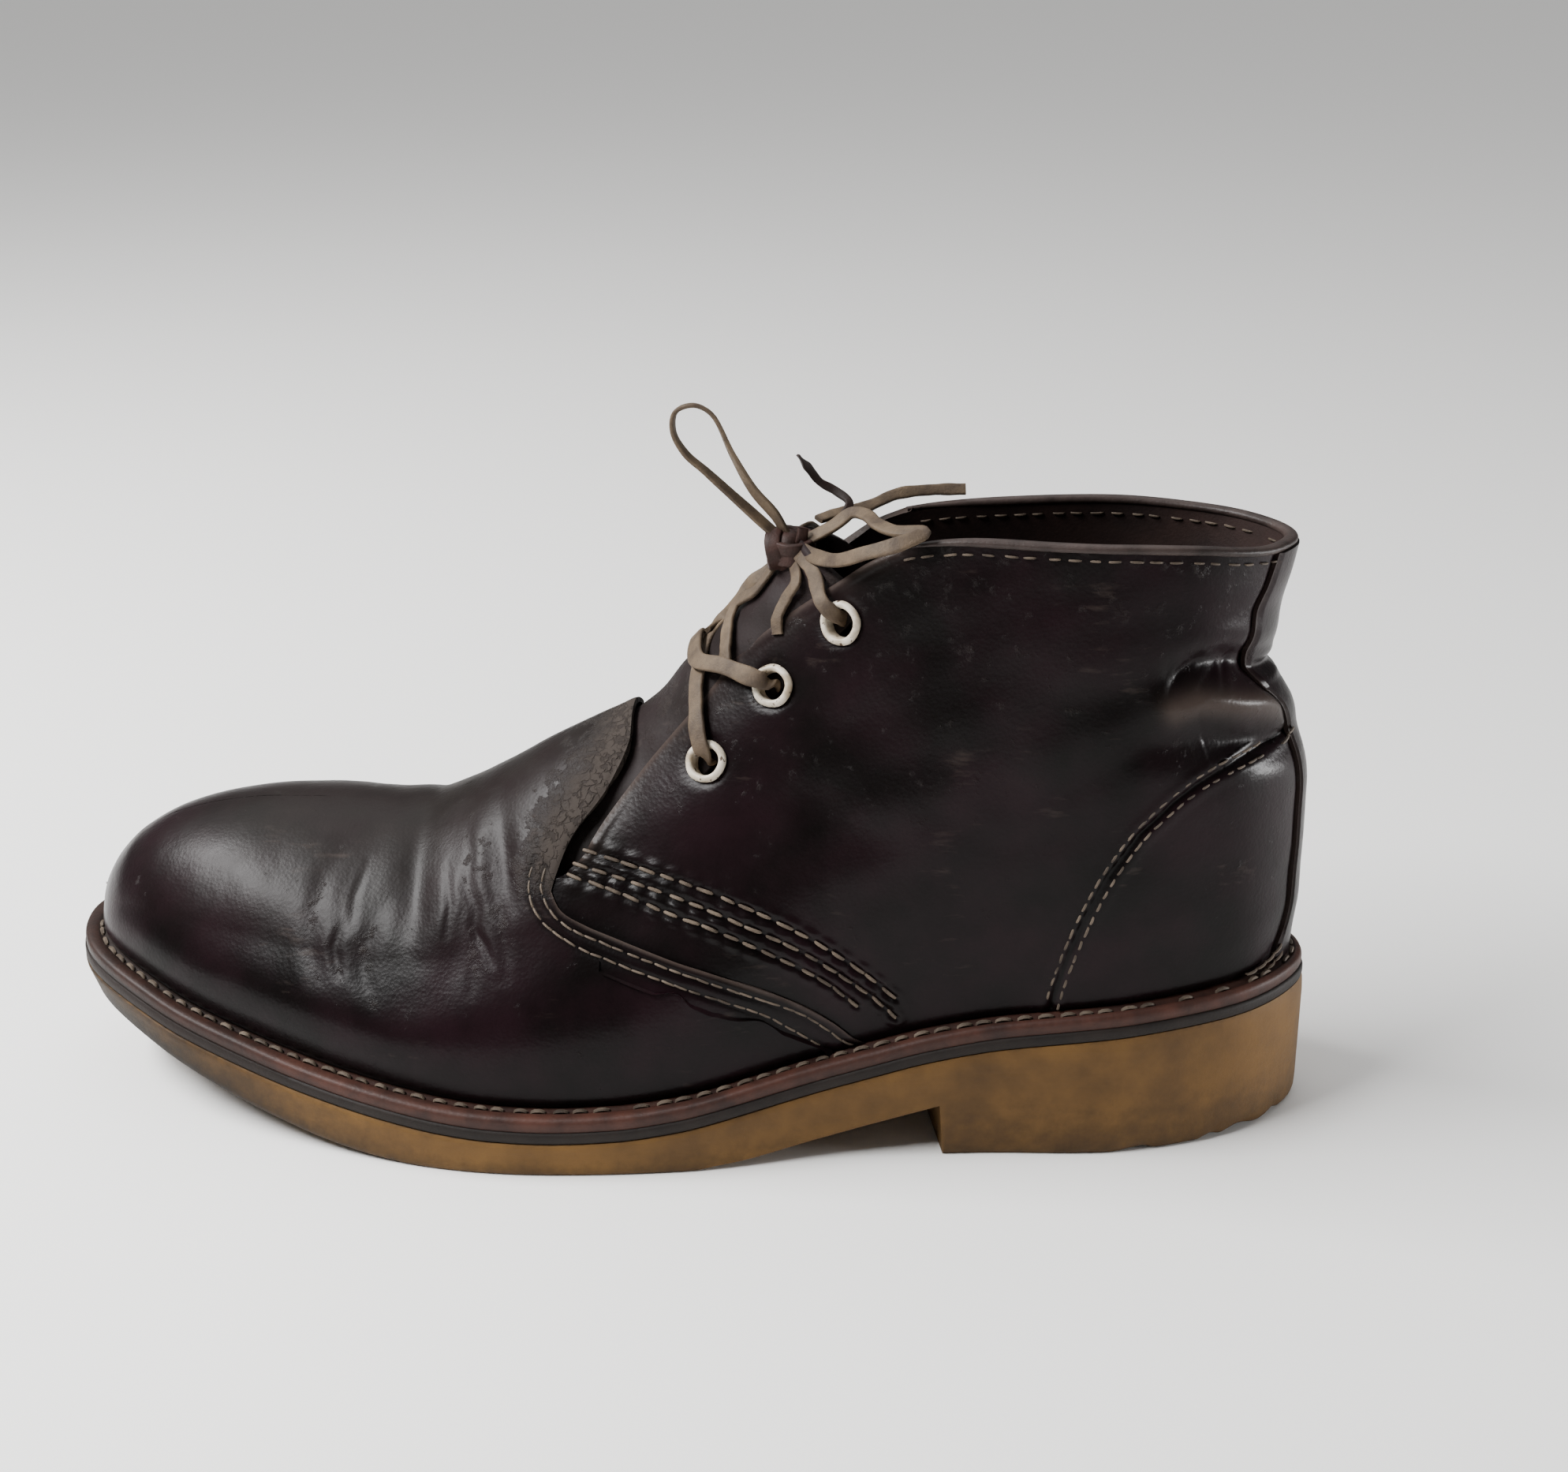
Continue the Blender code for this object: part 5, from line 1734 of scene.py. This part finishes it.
        long = Strap("bow_end_long", (
            (0.0342, 0.0044, 0.1416), (0.0385, 0.0088, 0.142), (0.045, 0.0132, 0.1424),
            (0.052, 0.0176, 0.1444), (0.060, 0.0202, 0.1448), (0.068, 0.0214, 0.1448)),
            ((-0.3, -0.6, 0.7), (-0.2, -0.75, 0.6), (0, -0.85, 0.5), (0, -0.85, 0.5)), width=2.8)
        return [(tall, "lace_loop_tall", "object"), (low, "lace_loop_low", "object"),
                (short, "lace_end_short", "bare"), (long, "lace_end_long", "bare")]

    def build(self) -> None:
        """Eyelets, straps, knot and the free loops and ends."""
        for strap, nodes in self.straps():
            strap.build(self.finishes, nodes)
        knot = self.build_knot()
        for strap, node, far_end in self.free_straps():
            made = strap.build(self.finishes, (node,))
            route = strap.line()[0] * MM
            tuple(strap.route[0])
            [tuple(p) for p in route]
        for key in self.eyelets:
            for side in Side:
                self.build_eyelet(key, side)


# ---------------------------------------------------------------- studio
@dataclass(frozen=True)
class SoftLight:
    """Rectangular light that faces a point. Sizes are in metres and the power in watts."""

    name: str
    place: tuple
    aim: tuple
    size: tuple
    power: float

    def build(self) -> None:
        """Hang the light."""
        data = bpy.data.lights.new(self.name, "AREA")
        data.shape = "RECTANGLE"
        data.size, data.size_y = self.size
        data.energy = self.power
        lamp = link(self.name, data)
        lamp.location = self.place
        lamp.rotation_euler = (Vector(self.aim) - Vector(self.place)).to_track_quat("-Z", "Y").to_euler()


@dataclass(frozen=True)
class Studio:
    """Camera, pale floor and soft light. Sizes are in metres and angles in degrees."""

    elevation: float = 21.795
    yaw: float = 5.135
    roll: float = -0.24
    away: float = 0.561
    aim: tuple = (0.026362, 0.0, 0.088894)
    lens: float = 53.81
    floor_size: float = 14.0
    lights: tuple[SoftLight, ...] = (
        SoftLight("window", (-0.67, -0.17, 0.88), (-0.09, -0.03, 0.055), (0.95, 0.24), 34),
        SoftLight("side", (1.03, 0.02, 0.09), (0.13, -0.015, 0.107), (0.32, 0.12), 8))
    sky_strength: float = 1.5
    sky_width: float = 70.0
    sky_turn: tuple = (-24.0, -6.0, 0.0)
    room_strength: float = 0.14

    def add_camera(self) -> None:
        """Camera on the outer side, above the boot."""
        e, y, r = map(math.radians, (self.elevation, self.yaw, self.roll))
        back = Vector((math.sin(y) * math.cos(e), -math.cos(y) * math.cos(e), math.sin(e)))
        right = (-back).cross(Vector((0, 0, 1))).normalized()
        up = right.cross(-back)
        across = right * math.cos(r) + up * math.sin(r)
        upward = up * math.cos(r) - right * math.sin(r)
        data = bpy.data.cameras.new("camera")
        data.lens = self.lens
        data.sensor_width = 36.0
        data.sensor_fit = "HORIZONTAL"
        data.clip_start = 0.01
        data.clip_end = 50.0
        camera = link("camera", data)
        turned = Matrix((across, upward, back)).transposed().to_4x4()
        camera.matrix_world = Matrix.Translation(Vector(self.aim) + back * self.away) @ turned
        bpy.context.scene.camera = camera

    def add_floor(self) -> None:
        """Wide pale floor of matt paper, with a faint tooth."""
        half = self.floor_size / 2
        corners = [(-half, -half, 0), (half, -half, 0), (half, half, 0), (-half, half, 0)]
        mesh = bpy.data.meshes.new("floor")
        mesh.from_pydata(corners, [], [(0, 1, 2, 3)])
        graph = Graph("matt_white_paper")
        tooth = graph.bump(graph.noise(1.5, 3), 0.05, 0.0002)
        mesh.materials.append(graph.finish(linear("#f4f3f1"), 0.9, tooth))
        link("floor", mesh)

    def add_room(self) -> None:
        """Wide light of a pale ceiling, and the room's own faint light."""
        sky = bpy.data.lights.new("sky", "SUN")
        sky.energy = self.sky_strength
        sky.angle = math.radians(self.sky_width)
        link("sky", sky).rotation_euler = tuple(map(math.radians, self.sky_turn))
        world = bpy.data.worlds.new("room")
        world.use_nodes = True
        ground = world.node_tree.nodes["Background"]
        ground.inputs["Color"].default_value = linear("#ffffff")
        ground.inputs["Strength"].default_value = self.room_strength
        bpy.context.scene.world = world

    def build(self) -> None:
        """Camera, floor and lights."""
        self.add_camera()
        self.add_floor()
        for light in self.lights:
            light.build()
        self.add_room()


def main() -> None:
    """Build the studio, then the lacing, sole, upper and tongue of the boot."""
    logging.basicConfig(level=logging.INFO, format="%(name)s: %(message)s")
    Studio().build()
    last = Last()
    finishes = Finishes()
    Lacing(last, finishes).build()
    Sole(last, finishes).build()
    Upper(last, finishes).build()
    Tongue(last, finishes).build()


if __name__ == "__main__":
    main()
